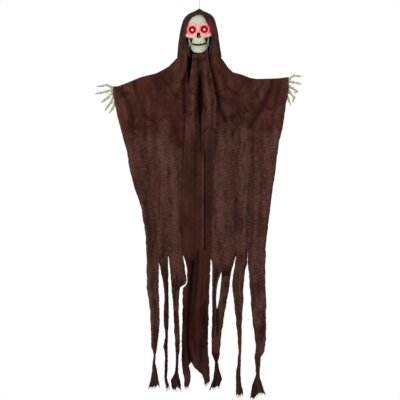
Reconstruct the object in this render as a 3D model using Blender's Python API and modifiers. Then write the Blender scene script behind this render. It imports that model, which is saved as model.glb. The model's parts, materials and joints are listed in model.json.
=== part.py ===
"""Hanging skeleton ghost: a hooded plastic skull with lit eyes over a ragged gauze robe.

Metres, +Z up. The figure faces -Y, and +X is its own left side, on the right as it is looked at.
The origin is the top of the hanging loop. Cord, neck, shoulder bar and arms all lie in the plane Y = 0.
"""

import math

import bmesh
import bpy
from mathutils import Matrix, Vector
from mathutils.geometry import intersect_point_line

# Clearances and overruns that all pieces share
TOUCH_GAP = 0.0003
RUNNING_GAP = 0.0004
CUT_OVERRUN = 0.004
MERGE_LIMIT = 0.00002

# Hanging cord: a loop, its knot, the drop to the crown and the screw eye there
CORD_DIAMETER = 0.002
LOOP_HEIGHT = 0.0215
LOOP_WIDTH = 0.011
KNOT_DIAMETER = 0.0065
KNOT_FLAT = 0.0004
CORD_DROP = 0.034
HITCH_DIAMETER = 0.0055
EYE_RING_DIAMETER = 0.0085
EYE_WIRE_DIAMETER = 0.0018
EYE_SHANK_LENGTH = 0.013
EYE_NUT_DIAMETER = 0.007
EYE_NUT_HEIGHT = 0.0025

# Skull: cheek to cheek, face to nape and crown to chin, and how far the screw eye stands off the crown
SKULL_WIDTH = 0.108
SKULL_DEPTH = 0.150
SKULL_HEIGHT = 0.171
EYE_STANDOFF = 0.0042
HEAD_TILT = 2.4
SKULL_WALL = 0.003
SKULL_VOXEL = 0.0029
SKULL_KEPT_SHARE = 0.05
EYE_SPACING = 0.0492
EYE_HOLE_DIAMETER = 0.031
NOSE_WIDTH = 0.0165
NOSE_HEIGHT = 0.021

# Lamp cups in the eye sockets, their diodes and leads
CUP_DEPTH = 0.013
CUP_WALL = 0.0015
LED_DIAMETER = 0.005
LED_LENGTH = 0.0085
LED_RIM_DIAMETER = 0.0062
LED_RIM_THICKNESS = 0.001
LEAD_DIAMETER = 0.0016

# Jaw and its two hinge pins
JAW_VOXEL = 0.0024
JAW_KEPT_SHARE = 0.10
JAW_SIDE_GAP = 0.0012
RAMUS_THICKNESS = 0.0065
JAW_BODY_HEIGHT = 0.0315
PIN_DIAMETER = 0.004
PIN_CAP_DIAMETER = 0.0072
PIN_CAP_THICKNESS = 0.0018
PIN_BITE = 0.0085

# Battery box in the back of the head, with cells, contacts, sliding door and switch
CELL_DIAMETER = 0.0105
CELL_LENGTH = 0.0445
CELL_GAP = 0.0006
BOX_WALL = 0.0024
BOX_DEPTH = 0.027
BOX_PROUD = 0.003
CONTACT_THICKNESS = 0.0008
SWITCH_ROOM = 0.008
SWITCH_SLOT_LENGTH = 0.011
SWITCH_SLOT_HEIGHT = 0.004
SWITCH_KNOB_LENGTH = 0.0045
SWITCH_KNOB_PROUD = 0.0016
SWITCH_BASE_THICKNESS = 0.0016
DOOR_THICKNESS = 0.0018
DOOR_LIP = 0.0012
BOARD_THICKNESS = 0.0014

# Neck post, which turns in the base of the skull and carries the shoulder bar
BASE_THICKNESS = 0.003
BASE_SCREW_DIAMETER = 0.0026
BASE_SCREW_HEAD_DIAMETER = 0.0052
BASE_SCREW_HEAD_HEIGHT = 0.0018
BASE_SCREW_BITE = 0.0035
NECK_DIAMETER = 0.020
NECK_BORE = 0.0144
NECK_BOSS_DIAMETER = 0.024
NECK_BOSS_HEIGHT = 0.018
NECK_COLLAR_DIAMETER = 0.023
NECK_COLLAR_THICKNESS = 0.003
NECK_SCREW_DIAMETER = 0.004
NECK_SCREW_HEAD_DIAMETER = 0.0078
NECK_SCREW_LENGTH = 0.016

# Shoulder bar and the two bent arm rods
SHOULDER_DROP = 0.3485
SHOULDER_SPAN = 0.250
BAR_HEIGHT = 0.014
BAR_THICKNESS = 0.0156
BAR_CORNER = 0.0015
HUB_DIAMETER = 0.027
HUB_HEIGHT = 0.024
FORK_REACH = 0.008
FORK_SLOT_DEPTH = 0.018
ARM_DIAMETER = 0.006
ARM_EYE_DIAMETER = 0.012
ARM_EYE_THICKNESS = 0.0062
ARM_REACH = 0.214
ARM_DROOP_LEFT = 4.2
ARM_DROOP_RIGHT = 12.6
ARM_BOW_LEFT = -0.006
ARM_BOW_RIGHT = 0.012
RIVET_DIAMETER = 0.004
RIVET_HEAD_DIAMETER = 0.008
RIVET_HEAD_THICKNESS = 0.0018

# Hands: a moulded wrist sleeve over the rod's end, and five bony digits
HAND_REACH = 0.084
HAND_CURL = 0.020
HAND_VOXEL = 0.0021
HAND_KEPT_SHARE = 0.125
WRIST_DIAMETER = 0.013
WRIST_SLEEVE_LENGTH = 0.018
BONE_DIAMETER = 0.0068
KNUCKLE_DIAMETER = 0.0096
TIE_WIDTH = 0.0036

# Cloth: each sheet's thickness, and how the robe and hood spread
CLOTH_THICKNESS = 0.002
LINING_GAP = 0.0026
COLLAR_GAP = 0.0022
RIDGE_GAP = 0.0006
FIGURE_HEIGHT = 1.600
PEAK_FALL = 0.00186
ROBE_FRONT_DEPTH = 0.034
ROBE_BACK_DEPTH = 0.040
SHOULDER_ROUND = 0.024
FOLD_DEPTH = 0.011
CREASE_DEPTH = 0.0045
DRAPE_STANDOFF = 0.006
DRAPE_PLEAT = 0.024
CLOTH_SETTLE_PIXELS = (75.0, 300.0)
SEAM_GAP_PIXELS = 1.2
DRAPE_TOP_PIXEL = 61.0
DRAPE_FORK_PIXEL = 362.0
BACK_SHORTER_PIXELS = 4.0

# Rows and columns of the cloth grids: over the shoulder, above and below the slit line, and across a strip
ARCH_ROWS = 3
FRONT_ROWS = (9, 8)
BACK_ROWS = (7, 5)
FRONT_COLUMNS = 5
BACK_COLUMNS = 4
LINING_ROWS = 7
DRAPE_ROWS = (18, 3)
DRAPE_COLUMNS = 5

# The photographed outline is read in pixels, 400 to the picture. Its rows are tied to the hood's peak,
# the chin, the shoulders and the lowest rag, and its columns to the hood's sides and the wrists
PEAK_PIXEL = 8.7
CHIN_PIXEL = 53.3
SHOULDER_PIXEL = 78.0
LOWEST_PIXEL = 399.0
AXIS_PIXEL = 199.3
LEFT_WRIST_PIXELS = 82.56
RIGHT_WRIST_PIXELS = 81.44
SKULL_WIDTH_PIXELS = 26.35
SKULL_DEPTH_PIXELS = 36.59

# Moulded skull: middle and half size of each lobe, shares of width, depth and height; then mirrored or not
SKULL_LOBE_SHARES = (
    ((0.0, 0.0, 0.640), (0.510, 0.480, 0.355), False),
    ((0.205, -0.415, 0.672), (0.130, 0.060, 0.045), True),
    ((0.0, -0.300, 0.700), (0.360, 0.160, 0.180), False),
    ((0.0, -0.440, 0.580), (0.070, 0.060, 0.100), False),
    ((0.375, -0.335, 0.430), (0.115, 0.100, 0.060), True),
    ((0.250, -0.360, 0.400), (0.130, 0.090, 0.055), True),
    ((0.405, -0.335, 0.560), (0.055, 0.060, 0.100), True),
    ((0.455, -0.160, 0.432), (0.042, 0.190, 0.036), True),
    ((0.0, -0.360, 0.400), (0.270, 0.145, 0.165), False),
    ((0.0, -0.345, 0.275), (0.245, 0.150, 0.085), False),
)
SKULL_CAVITY_SHARES = (0.0, 0.0, 0.650)
SKULL_SEAM_SHARE = -0.04
SKULL_FLOOR_SHARE = 0.362
TEETH_LINE_SHARE = 0.212
PALATE_BACK_SHARE = -0.26
EYE_HEIGHT_SHARE = 0.560
NOSE_TOP_SHARE = 0.485
BOX_LOW_SHARE = 0.42
JAW_HINGE_Y_SHARE = 0.020
JAW_HINGE_Z_SHARE = 0.388
JAW_ARCH_Y_SHARE = -0.155
JAW_ARCH_REACH_SHARE = 0.275
JAW_ARCH_X_SHARE = 0.345

# Digits, thumb first: joints outward and upward from the wrist, shares of HAND_REACH
LEFT_DIGIT_SHARES = (
    ((0.12, 0.02), (0.27, 0.17), (0.47, 0.31), (0.68, 0.29), (0.87, 0.28)),
    ((0.16, 0.03), (0.44, -0.01), (0.66, -0.05), (0.83, -0.11)),
    ((0.17, -0.10), (0.28, -0.24), (0.42, -0.31), (0.62, -0.46), (0.51, -0.56)),
    ((0.13, -0.20), (0.28, -0.52), (0.49, -0.76), (0.42, -0.99)),
    ((0.05, -0.26), (0.12, -0.56), (0.20, -0.82), (0.32, -1.14)),
)
RIGHT_DIGIT_SHARES = (
    ((0.12, 0.03), (0.24, 0.16), (0.42, 0.24), (0.66, 0.20), (0.92, 0.16)),
    ((0.16, 0.02), (0.45, -0.08), (0.72, -0.14), (1.00, -0.20)),
    ((0.14, -0.10), (0.38, -0.38), (0.55, -0.50), (0.70, -0.62)),
    ((0.08, -0.22), (0.23, -0.61), (0.38, -0.80), (0.52, -1.01)),
    ((0.02, -0.30), (0.05, -0.70), (0.16, -0.92), (0.32, -1.15)),
)

# Hood: row, half width, depth in front and behind, all in pixels of the outline, and the face opening
HOOD_ROW_PIXELS = (
    (9.0, 1.05, 1.05, 1.05, 0.0),
    (11.0, 4.1, 4.6, 5.0, 0.0),
    (12.9, 8.6, 9.2, 10.5, 0.0),
    (14.3, 11.0, 12.4, 13.4, 0.0),
    (16.4, 13.3, 14.6, 17.2, 5.4),
    (19.5, 15.2, 16.6, 19.8, 8.2),
    (23.5, 16.5, 18.0, 21.6, 10.3),
    (28.5, 17.8, 20.2, 22.6, 12.3),
    (34.0, 18.8, 21.5, 23.2, 13.4),
    (40.0, 19.6, 21.8, 23.6, 13.2),
    (46.0, 20.5, 21.2, 23.4, 11.4),
    (51.5, 21.3, 19.8, 22.8, 9.3),
    (57.2, 22.2, 18.05, 21.95, 6.4),
)
HOOD_COLUMNS = 24
HOOD_PUCKER_SHARE = 0.022

# Top edge of the robe from the right cuff across the collar to the left cuff: across, down
SHOULDER_LINE_PIXELS = (
    (112.5, 86.2), (118.0, 86.0), (126.0, 83.0), (141.0, 76.8), (156.5, 73.0), (162.6, 69.8),
    (169.0, 66.0), (173.0, 61.8), (177.1, 57.7), (221.5, 57.7), (225.0, 62.8), (228.2, 67.4),
    (233.0, 72.0), (242.0, 74.4), (250.0, 77.6), (256.0, 78.7), (270.0, 78.4), (279.0, 78.0),
    (288.5, 76.8),
)

# Edges of the hanging strips: down, across. Those of one sheet run together above the line where it is slit
SLIT_LINE_PIXEL = 256.0
RIGHT_OUTER_PIXELS = (
    (86, 112.9), (97, 117.5), (107, 120.6), (126, 124.4), (152, 129.8), (167, 130.5), (187, 135.0),
    (207, 141.3), (236, 145.9), (259, 146.6), (290, 147.0), (310, 150.3), (336, 150.9), (346, 151.2),
    (356, 153.8), (363, 152.6), (379, 151.2), (388, 148.3),
)
RIGHT_FIRST_PIXELS = ((60, 138.0), (100, 141.0), (150, 147.0), (200, 152.5), (256, 158.2))
RIGHT_SECOND_PIXELS = ((60, 161.0), (100, 162.0), (150, 164.0), (200, 166.5), (256, 168.2))
RIGHT_INNER_PIXELS = ((57, 189.5), (100, 190.0), (150, 188.0), (200, 185.5), (256, 183.0))
STRIP_ONE_RIGHT_PIXELS = (
    (256, 158.2), (262, 158.4), (291, 158.9), (321, 159.8), (336, 158.7), (346, 157.2), (356, 155.6),
    (363, 155.4), (370, 157.0), (379, 158.4), (386, 159.8),
)
STRIP_TWO_LEFT_PIXELS = (
    (256, 158.2), (262, 159.4), (291, 164.5), (321, 163.6), (336, 165.4), (347, 163.8), (356, 165.0),
    (378, 164.4), (388, 166.4),
)
STRIP_TWO_RIGHT_PIXELS = (
    (256, 168.2), (270, 168.2), (301, 168.9), (327, 168.4), (339, 168.0), (367, 167.6), (378, 167.2),
    (388, 170.0),
)
STRIP_THREE_LEFT_PIXELS = (
    (256, 168.2), (262, 169.4), (301, 173.0), (333, 174.4), (344, 175.3), (359, 176.0), (373, 175.0),
    (380, 171.0), (390, 172.0),
)
STRIP_THREE_RIGHT_PIXELS = (
    (256, 183.0), (270, 180.4), (301, 178.6), (333, 179.6), (344, 180.2), (359, 178.6), (373, 178.4),
    (380, 180.0), (390, 180.6),
)
LEFT_INNER_PIXELS = ((57, 210.5), (100, 211.0), (150, 207.0), (200, 207.0), (256, 209.5))
LEFT_FIRST_PIXELS = ((60, 232.0), (100, 231.0), (150, 232.0), (200, 234.5), (256, 236.0))
LEFT_SECOND_PIXELS = ((60, 259.0), (100, 257.0), (150, 252.0), (200, 249.0), (256, 247.6))
LEFT_OUTER_PIXELS = (
    (77, 288.3), (95, 286.5), (104, 282.6), (125, 280.7), (141, 277.1), (170, 274.5), (198, 271.4),
    (221, 268.4), (244, 266.0), (276, 265.0), (300, 266.2), (335, 266.0), (346, 265.0), (352, 263.7),
    (357, 260.8), (373, 259.7), (378, 259.6), (389, 263.7), (398, 267.0),
)
STRIP_FIVE_LEFT_PIXELS = (
    (256, 209.5), (262, 212.0), (310, 212.3), (336, 211.4), (354, 212.0), (362, 215.0), (370, 214.4),
    (379, 213.0), (391, 209.0),
)
STRIP_FIVE_RIGHT_PIXELS = (
    (256, 236.0), (270, 231.7), (296, 227.7), (316, 224.0), (336, 221.0), (354, 219.8), (362, 217.6),
    (370, 219.5), (379, 222.0), (391, 218.0),
)
STRIP_SIX_LEFT_PIXELS = (
    (256, 236.0), (270, 233.8), (286, 231.9), (310, 234.7), (336, 237.3), (352, 238.6), (376, 235.9),
    (395, 235.9),
)
STRIP_SIX_RIGHT_PIXELS = (
    (256, 247.6), (262, 246.4), (281, 243.5), (310, 242.8), (336, 241.3), (352, 241.0), (376, 240.2),
    (395, 243.3),
)
STRIP_SEVEN_LEFT_PIXELS = (
    (256, 247.6), (264, 248.0), (296, 250.6), (316, 252.0), (336, 254.8), (346, 256.0), (357, 254.2),
    (373, 256.0), (389, 251.2), (398, 250.6),
)
DRAPE_LEFT_PIXELS = (
    (57, 191.5), (75, 190.0), (99, 187.2), (120, 186.0), (150, 183.6), (200, 181.5), (250, 180.6),
    (310, 182.5), (359, 181.4), (379, 184.0), (387, 184.5),
)
DRAPE_MIDDLE_PIXELS = ((57, 200.2), (117, 200.2), (200, 198.0), (300, 195.0), (362, 190.8))
DRAPE_TAIL_PIXELS = ((362, 190.8), (370, 190.0), (387, 188.6))
DRAPE_BODY_PIXELS = ((362, 190.8), (368, 195.0), (374, 203.0), (382, 204.6))
DRAPE_RIGHT_PIXELS = (
    (57, 208.0), (75, 211.4), (99, 216.2), (120, 216.6), (150, 212.5), (200, 211.5), (250, 211.0),
    (310, 208.8), (350, 208.0), (370, 209.6), (382, 210.0),
)

FINISHES = {}


def finish(name, colour, roughness, metallic=0.0):
    """A Principled material, made once and then shared."""
    if name not in FINISHES:
        made = bpy.data.materials.new(name)
        made.use_nodes = True
        made.diffuse_color = (*colour, 1.0)
        shader = made.node_tree.nodes["Principled BSDF"]
        shader.inputs["Base Color"].default_value = (*colour, 1.0)
        shader.inputs["Roughness"].default_value = roughness
        shader.inputs["Metallic"].default_value = metallic
        FINISHES[name] = made
    return FINISHES[name]


def bone_plastic():
    return finish("bone_plastic", (0.58, 0.61, 0.46), 0.5)


def dark_plastic():
    return finish("dark_plastic", (0.03, 0.03, 0.03), 0.55)


def red_plastic():
    return finish("red_plastic", (0.35, 0.01, 0.02), 0.35)


def frame_plastic():
    return finish("frame_plastic", (0.05, 0.05, 0.055), 0.6)


def steel():
    return finish("steel", (0.62, 0.62, 0.62), 0.35, 1.0)


def gauze():
    return finish("gauze", (0.045, 0.019, 0.016), 0.95)


def white_cord():
    return finish("white_cord", (0.75, 0.75, 0.74), 0.8)


def keep(name, mesh, dress, parent=None):
    """A part: the mesh as a named object in the part's collection, shaded smooth over its round faces."""
    made = bpy.data.objects.new(name, mesh)
    bpy.data.collections["skeleton_ghost"].objects.link(made)
    mesh.materials.clear()
    mesh.materials.append(dress)
    mesh.shade_smooth()
    mesh.set_sharp_from_angle(angle=math.radians(35))
    made.parent = parent
    return made


def cutter(name, mesh, parent=None):
    """A guide or cutter, which no render shows."""
    made = bpy.data.objects.new(name, mesh)
    bpy.data.collections["cutters"].objects.link(made)
    made.hide_render = True
    made.display_type = "WIRE"
    made.parent = parent
    return made


def mesh_from(form, name):
    """The finished mesh of a bmesh, with its faces pointing out."""
    bmesh.ops.recalc_face_normals(form, faces=form.faces)
    mesh = bpy.data.meshes.new(name)
    form.to_mesh(mesh)
    form.free()
    return mesh


def add_cylinder(form, diameter, length, place, sides=24, top_diameter=None):
    """A cylinder or cone about local Z, its middle at the place."""
    top = diameter if top_diameter is None else top_diameter
    bmesh.ops.create_cone(
        form, cap_ends=True, segments=sides, radius1=diameter / 2, radius2=top / 2, depth=length,
        matrix=place,
    )


def add_box(form, low, high, place=None):
    """A box between two corners."""
    size = Matrix.Diagonal((*(b - a for a, b in zip(low, high)), 1.0))
    middle = Matrix.Translation([(a + b) / 2 for a, b in zip(low, high)])
    bmesh.ops.create_cube(form, size=1.0, matrix=(place or Matrix()) @ middle @ size)


def add_lobe(form, middle, half, turn=None, detail=16):
    """An ellipsoid."""
    place = Matrix.Translation(middle) @ (turn or Matrix()) @ Matrix.Diagonal((*half, 1.0))
    bmesh.ops.create_uvsphere(form, u_segments=detail, v_segments=detail // 2 + 2, radius=1.0, matrix=place)


def cylinder_mesh(name, diameter, length, place, sides=24):
    form = bmesh.new()
    add_cylinder(form, diameter, length, place, sides)
    return mesh_from(form, name)


def box_mesh(name, low, high, place=None):
    form = bmesh.new()
    add_box(form, low, high, place)
    return mesh_from(form, name)


def along_x(middle):
    return Matrix.Translation(middle) @ Matrix.Rotation(math.radians(90), 4, "Y")


def along_y(middle):
    return Matrix.Translation(middle) @ Matrix.Rotation(math.radians(-90), 4, "X")


def change(target, kind, tool):
    """Adds a Boolean to the target: DIFFERENCE, UNION or INTERSECT."""
    step = target.modifiers.new(tool.name, "BOOLEAN")
    step.operation = kind
    step.object = tool
    return step


def turned(name, profile, place, dress, parent=None, steps=16, closed=False):
    """A turned piece: the profile runs down its outer side, radius and height, about local Z."""
    form = bmesh.new()
    points = [form.verts.new((radius, 0.0, height)) for radius, height in profile]
    pairs = list(zip(points, points[1:]))
    if closed:
        pairs.append((points[-1], points[0]))
    for first, second in pairs:
        form.edges.new((first, second))
    mesh = bpy.data.meshes.new(name)
    form.to_mesh(mesh)
    form.free()
    made = keep(name, mesh, dress, parent)
    made.matrix_local = place
    screw = made.modifiers.new("turn", "SCREW")
    screw.steps = steps
    screw.render_steps = steps
    screw.use_merge_vertices = True
    screw.merge_threshold = MERGE_LIMIT
    return made


def rod(name, points, diameter, dress, parent=None, detail=2, as_mesh=False):
    """A wire or tube along a polyline, with filled caps."""
    path = bpy.data.curves.new(name, "CURVE")
    path.dimensions = "3D"
    path.bevel_depth = diameter / 2
    path.bevel_resolution = detail
    path.use_fill_caps = True
    line = path.splines.new("POLY")
    line.points.add(len(points) - 1)
    for knot, point in zip(line.points, points):
        knot.co = (*point, 1.0)
    made = bpy.data.objects.new(name, path)
    bpy.data.collections["skeleton_ghost"].objects.link(made)
    path.materials.append(dress)
    made.parent = parent
    if not as_mesh:
        return made
    graph = bpy.context.evaluated_depsgraph_get()
    mesh = bpy.data.meshes.new_from_object(made.evaluated_get(graph))
    bpy.data.objects.remove(made)
    form = bmesh.new()
    form.from_mesh(mesh)
    bmesh.ops.remove_doubles(form, verts=form.verts, dist=MERGE_LIMIT)
    tidy = mesh_from(form, name)
    return keep(name, tidy, dress, parent)


def smooth_through(points, count):
    """Evenly counted points on a smooth curve through the given ones."""
    ends = [2 * points[0] - points[1], *points, 2 * points[-1] - points[-2]]
    made = []
    for index in range(count):
        share = index / (count - 1) * (len(points) - 1)
        span = min(int(share), len(points) - 2)
        t = share - span
        a, b, c, d = ends[span : span + 4]
        bend = (3 * b - a - 3 * c + d) * t**3 + (2 * a - 5 * b + 4 * c - d) * t**2 + (c - a) * t
        made.append(b + bend * 0.5)
    return made


def read(table, key):
    """Straight interpolation in a table of pairs, held at its ends."""
    if key <= table[0][0]:
        return table[0][1]
    for (low, first), (high, second) in zip(table, table[1:]):
        if key <= high:
            return first + (second - first) * (key - low) / (high - low)
    return table[-1][1]


def ease(value, low, high):
    share = min(max((value - low) / (high - low), 0.0), 1.0)
    return share * share * (3 - 2 * share)


def read_on(table, key):
    """Straight interpolation in a table of pairs, carried on past its ends."""
    for (low, first), (high, second) in zip(table, table[1:]):
        if key <= high or (high, second) == table[-1]:
            return first + (second - first) * (key - low) / (high - low)


def cord_end():
    """Height of the hitch's top, just under the cord."""
    return -(LOOP_HEIGHT + KNOT_DIAMETER - KNOT_FLAT + CORD_DROP + 3 * TOUCH_GAP)


def eye_underside():
    """Height of the underside of the screw eye's ring."""
    return cord_end() - HITCH_DIAMETER / 2 - EYE_RING_DIAMETER + EYE_WIRE_DIAMETER / 2


def chin_drop():
    """How far below the origin the chin is, with the crown under the screw eye."""
    cranium = SKULL_LOBE_SHARES[0]
    return EYE_STANDOFF - eye_underside() + (cranium[0][2] + cranium[1][2]) * SKULL_HEIGHT


def hood_half(pixels):
    """Half width of the hood from its half width in the picture."""
    return pixels * SKULL_WIDTH / SKULL_WIDTH_PIXELS


def hood_deep(pixels):
    """Depth of the hood from its depth in pixels."""
    return pixels * SKULL_DEPTH / SKULL_DEPTH_PIXELS


def column_marks(side):
    """Distance from the axis in the picture and in metres, where the figure's own sizes fix it."""
    droop = math.radians(ARM_DROOP_LEFT if side > 0 else ARM_DROOP_RIGHT)
    hood = HOOD_ROW_PIXELS[-1][1]
    wrist = LEFT_WRIST_PIXELS if side > 0 else RIGHT_WRIST_PIXELS
    return ((0.0, 0.0), (hood, hood_half(hood)), (wrist, SHOULDER_SPAN / 2 + ARM_REACH * math.cos(droop)))


def row_marks():
    """Rows of the picture and their depth below the origin, where the figure's own sizes fix them."""
    peak = PEAK_FALL - cord_end()
    return (
        (PEAK_PIXEL, peak), (CHIN_PIXEL, chin_drop()), (SHOULDER_PIXEL, SHOULDER_DROP),
        (LOWEST_PIXEL, peak + FIGURE_HEIGHT),
    )


def across(pixel):
    side = 1 if pixel > AXIS_PIXEL else -1
    return side * read_on(column_marks(side), abs(pixel - AXIS_PIXEL))


def column_of(x):
    """The picture's column at a distance from the axis."""
    side = 1 if x > 0 else -1
    return AXIS_PIXEL + side * read_on([(metres, pixels) for pixels, metres in column_marks(side)], abs(x))


def down(pixel):
    return -read_on(row_marks(), pixel)


def row_of(height):
    """The picture's row at a height."""
    return read_on([(metres, pixel) for pixel, metres in row_marks()], -height)


def in_skull(shares):
    """A place in the head's own frame from shares of the skull's width, depth and height."""
    return Vector((shares[0] * SKULL_WIDTH, shares[1] * SKULL_DEPTH, shares[2] * SKULL_HEIGHT))


def remeshed(made, voxel, kept):
    """One skin over lobes that run into each other, with fewer faces."""
    skin = made.modifiers.new("skin", "REMESH")
    skin.mode = "VOXEL"
    skin.voxel_size = voxel
    skin.use_smooth_shade = True
    fewer = made.modifiers.new("fewer", "DECIMATE")
    fewer.ratio = kept


def hang_cord():
    """The loop, its knot, the drop and the hitch on the screw eye."""
    radius = LOOP_WIDTH / 2 - CORD_DIAMETER / 2
    straight = LOOP_HEIGHT - CORD_DIAMETER / 2 - radius
    half = [Vector((CORD_DIAMETER / 2 + TOUCH_GAP, 0, -LOOP_HEIGHT)), Vector((radius, 0, -straight))]
    turn = [
        Vector((radius * math.cos(math.pi * step / 8), 0, radius * math.sin(math.pi * step / 8) - radius))
        for step in range(9)
    ]
    lift = Vector((0, 0, -CORD_DIAMETER / 2))
    other = [Vector((-point.x, 0, point.z)) for point in reversed(half)]
    route = half + [point + lift for point in turn] + other
    rod("hanging_loop", route, CORD_DIAMETER, white_cord(), detail=1)
    knot_top = -LOOP_HEIGHT - TOUCH_GAP
    form = bmesh.new()
    half_knot = KNOT_DIAMETER / 2
    add_lobe(form, (0, 0, knot_top + KNOT_FLAT - half_knot), (half_knot, half_knot, half_knot), detail=12)
    knot = keep("hanging_knot", mesh_from(form, "hanging_knot"), white_cord())
    low = (-KNOT_DIAMETER, -KNOT_DIAMETER, knot_top)
    trim = box_mesh("knot_trim", low, (KNOT_DIAMETER, KNOT_DIAMETER, knot_top + CUT_OVERRUN))
    change(knot, "DIFFERENCE", cutter("knot_trim", trim))
    cord_top = knot_top + KNOT_FLAT - KNOT_DIAMETER - TOUCH_GAP
    count = 12
    drop = [Vector((0, 0, cord_top - CORD_DROP * step / count)) for step in range(count + 1)]
    rod("hanging_cord", drop, CORD_DIAMETER, white_cord())


def hang_eye():
    """The hitch, the steel screw eye through the crown, and the nut inside."""
    top = cord_end()
    wire = EYE_WIRE_DIAMETER / 2
    ring_radius = EYE_RING_DIAMETER / 2 - wire
    ring_middle = eye_underside() + ring_radius
    form = bmesh.new()
    hitch_middle = (0, 0, top - HITCH_DIAMETER / 2)
    add_lobe(form, hitch_middle, [HITCH_DIAMETER / 2] * 3, detail=12)
    hitch = keep("cord_hitch", mesh_from(form, "cord_hitch"), white_cord())
    groove = cylinder_mesh(
        "hitch_groove",
        EYE_WIRE_DIAMETER + 2 * TOUCH_GAP,
        HITCH_DIAMETER + CUT_OVERRUN,
        along_x((0, 0, ring_middle + ring_radius)),
        12,
    )
    change(hitch, "DIFFERENCE", cutter("hitch_groove", groove))
    slot_half = wire + TOUCH_GAP
    open_slot = box_mesh(
        "hitch_slot",
        (-HITCH_DIAMETER, -slot_half, top - HITCH_DIAMETER - CUT_OVERRUN),
        (HITCH_DIAMETER, slot_half, ring_middle + ring_radius),
    )
    change(hitch, "DIFFERENCE", cutter("hitch_slot", open_slot))
    route = [
        Vector((ring_radius * math.sin(angle), 0, ring_middle + ring_radius * -math.cos(angle)))
        for angle in (math.radians(340 * step / 18) for step in range(19))
    ]
    shank_end = Vector((0, 0, ring_middle - ring_radius - EYE_SHANK_LENGTH))
    route = [shank_end, Vector((0, 0, (shank_end.z + route[0].z) / 2))] + route
    rod("crown_eye", route, EYE_WIRE_DIAMETER, steel(), detail=1)


def hinge_middle():
    """The jaw's hinge axis, on the head's middle plane."""
    return Vector((0, JAW_HINGE_Y_SHARE * SKULL_DEPTH, JAW_HINGE_Z_SHARE * SKULL_HEIGHT))


def hinge_face():
    """How far from the middle the cranium's hinge pads stand."""
    return JAW_ARCH_X_SHARE * SKULL_WIDTH


def floor_height():
    return SKULL_FLOOR_SHARE * SKULL_HEIGHT


def base_screw_places():
    """Two screws into the back shell and one into the face shell, on the underside of the base."""
    rear = Vector((0.25 * SKULL_WIDTH, 0.15 * SKULL_DEPTH, 0))
    front = Vector((0, -0.22 * SKULL_DEPTH, 0))
    return {"left": rear, "right": Vector((-rear.x, rear.y, 0)), "front": front}


def box_size():
    """Half width, height and depth of the battery box."""
    half_width = CELL_DIAMETER + CELL_GAP * 1.5 + BOX_WALL
    pocket = CELL_LENGTH + 2 * (CONTACT_THICKNESS + TOUCH_GAP)
    return half_width, pocket + SWITCH_ROOM + 3 * BOX_WALL, BOX_DEPTH


def box_corners():
    half_width, height, depth = box_size()
    back = 0.5 * SKULL_DEPTH * 0.96 + BOX_PROUD
    low = BOX_LOW_SHARE * SKULL_HEIGHT
    return Vector((-half_width, back - depth, low)), Vector((half_width, back, low + height))


def skull_blank(name, head):
    """The skull's outer skin, before it is hollowed and split into two shells."""
    form = bmesh.new()
    for middle, half, mirrored in SKULL_LOBE_SHARES:
        for side in (1, -1) if mirrored else (1,):
            at = in_skull(middle)
            at.x *= side
            add_lobe(form, at, in_skull(half), detail=24)
    blank = keep(name, mesh_from(form, name), bone_plastic(), head)
    remeshed(blank, SKULL_VOXEL, SKULL_KEPT_SHARE)
    return blank


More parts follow.
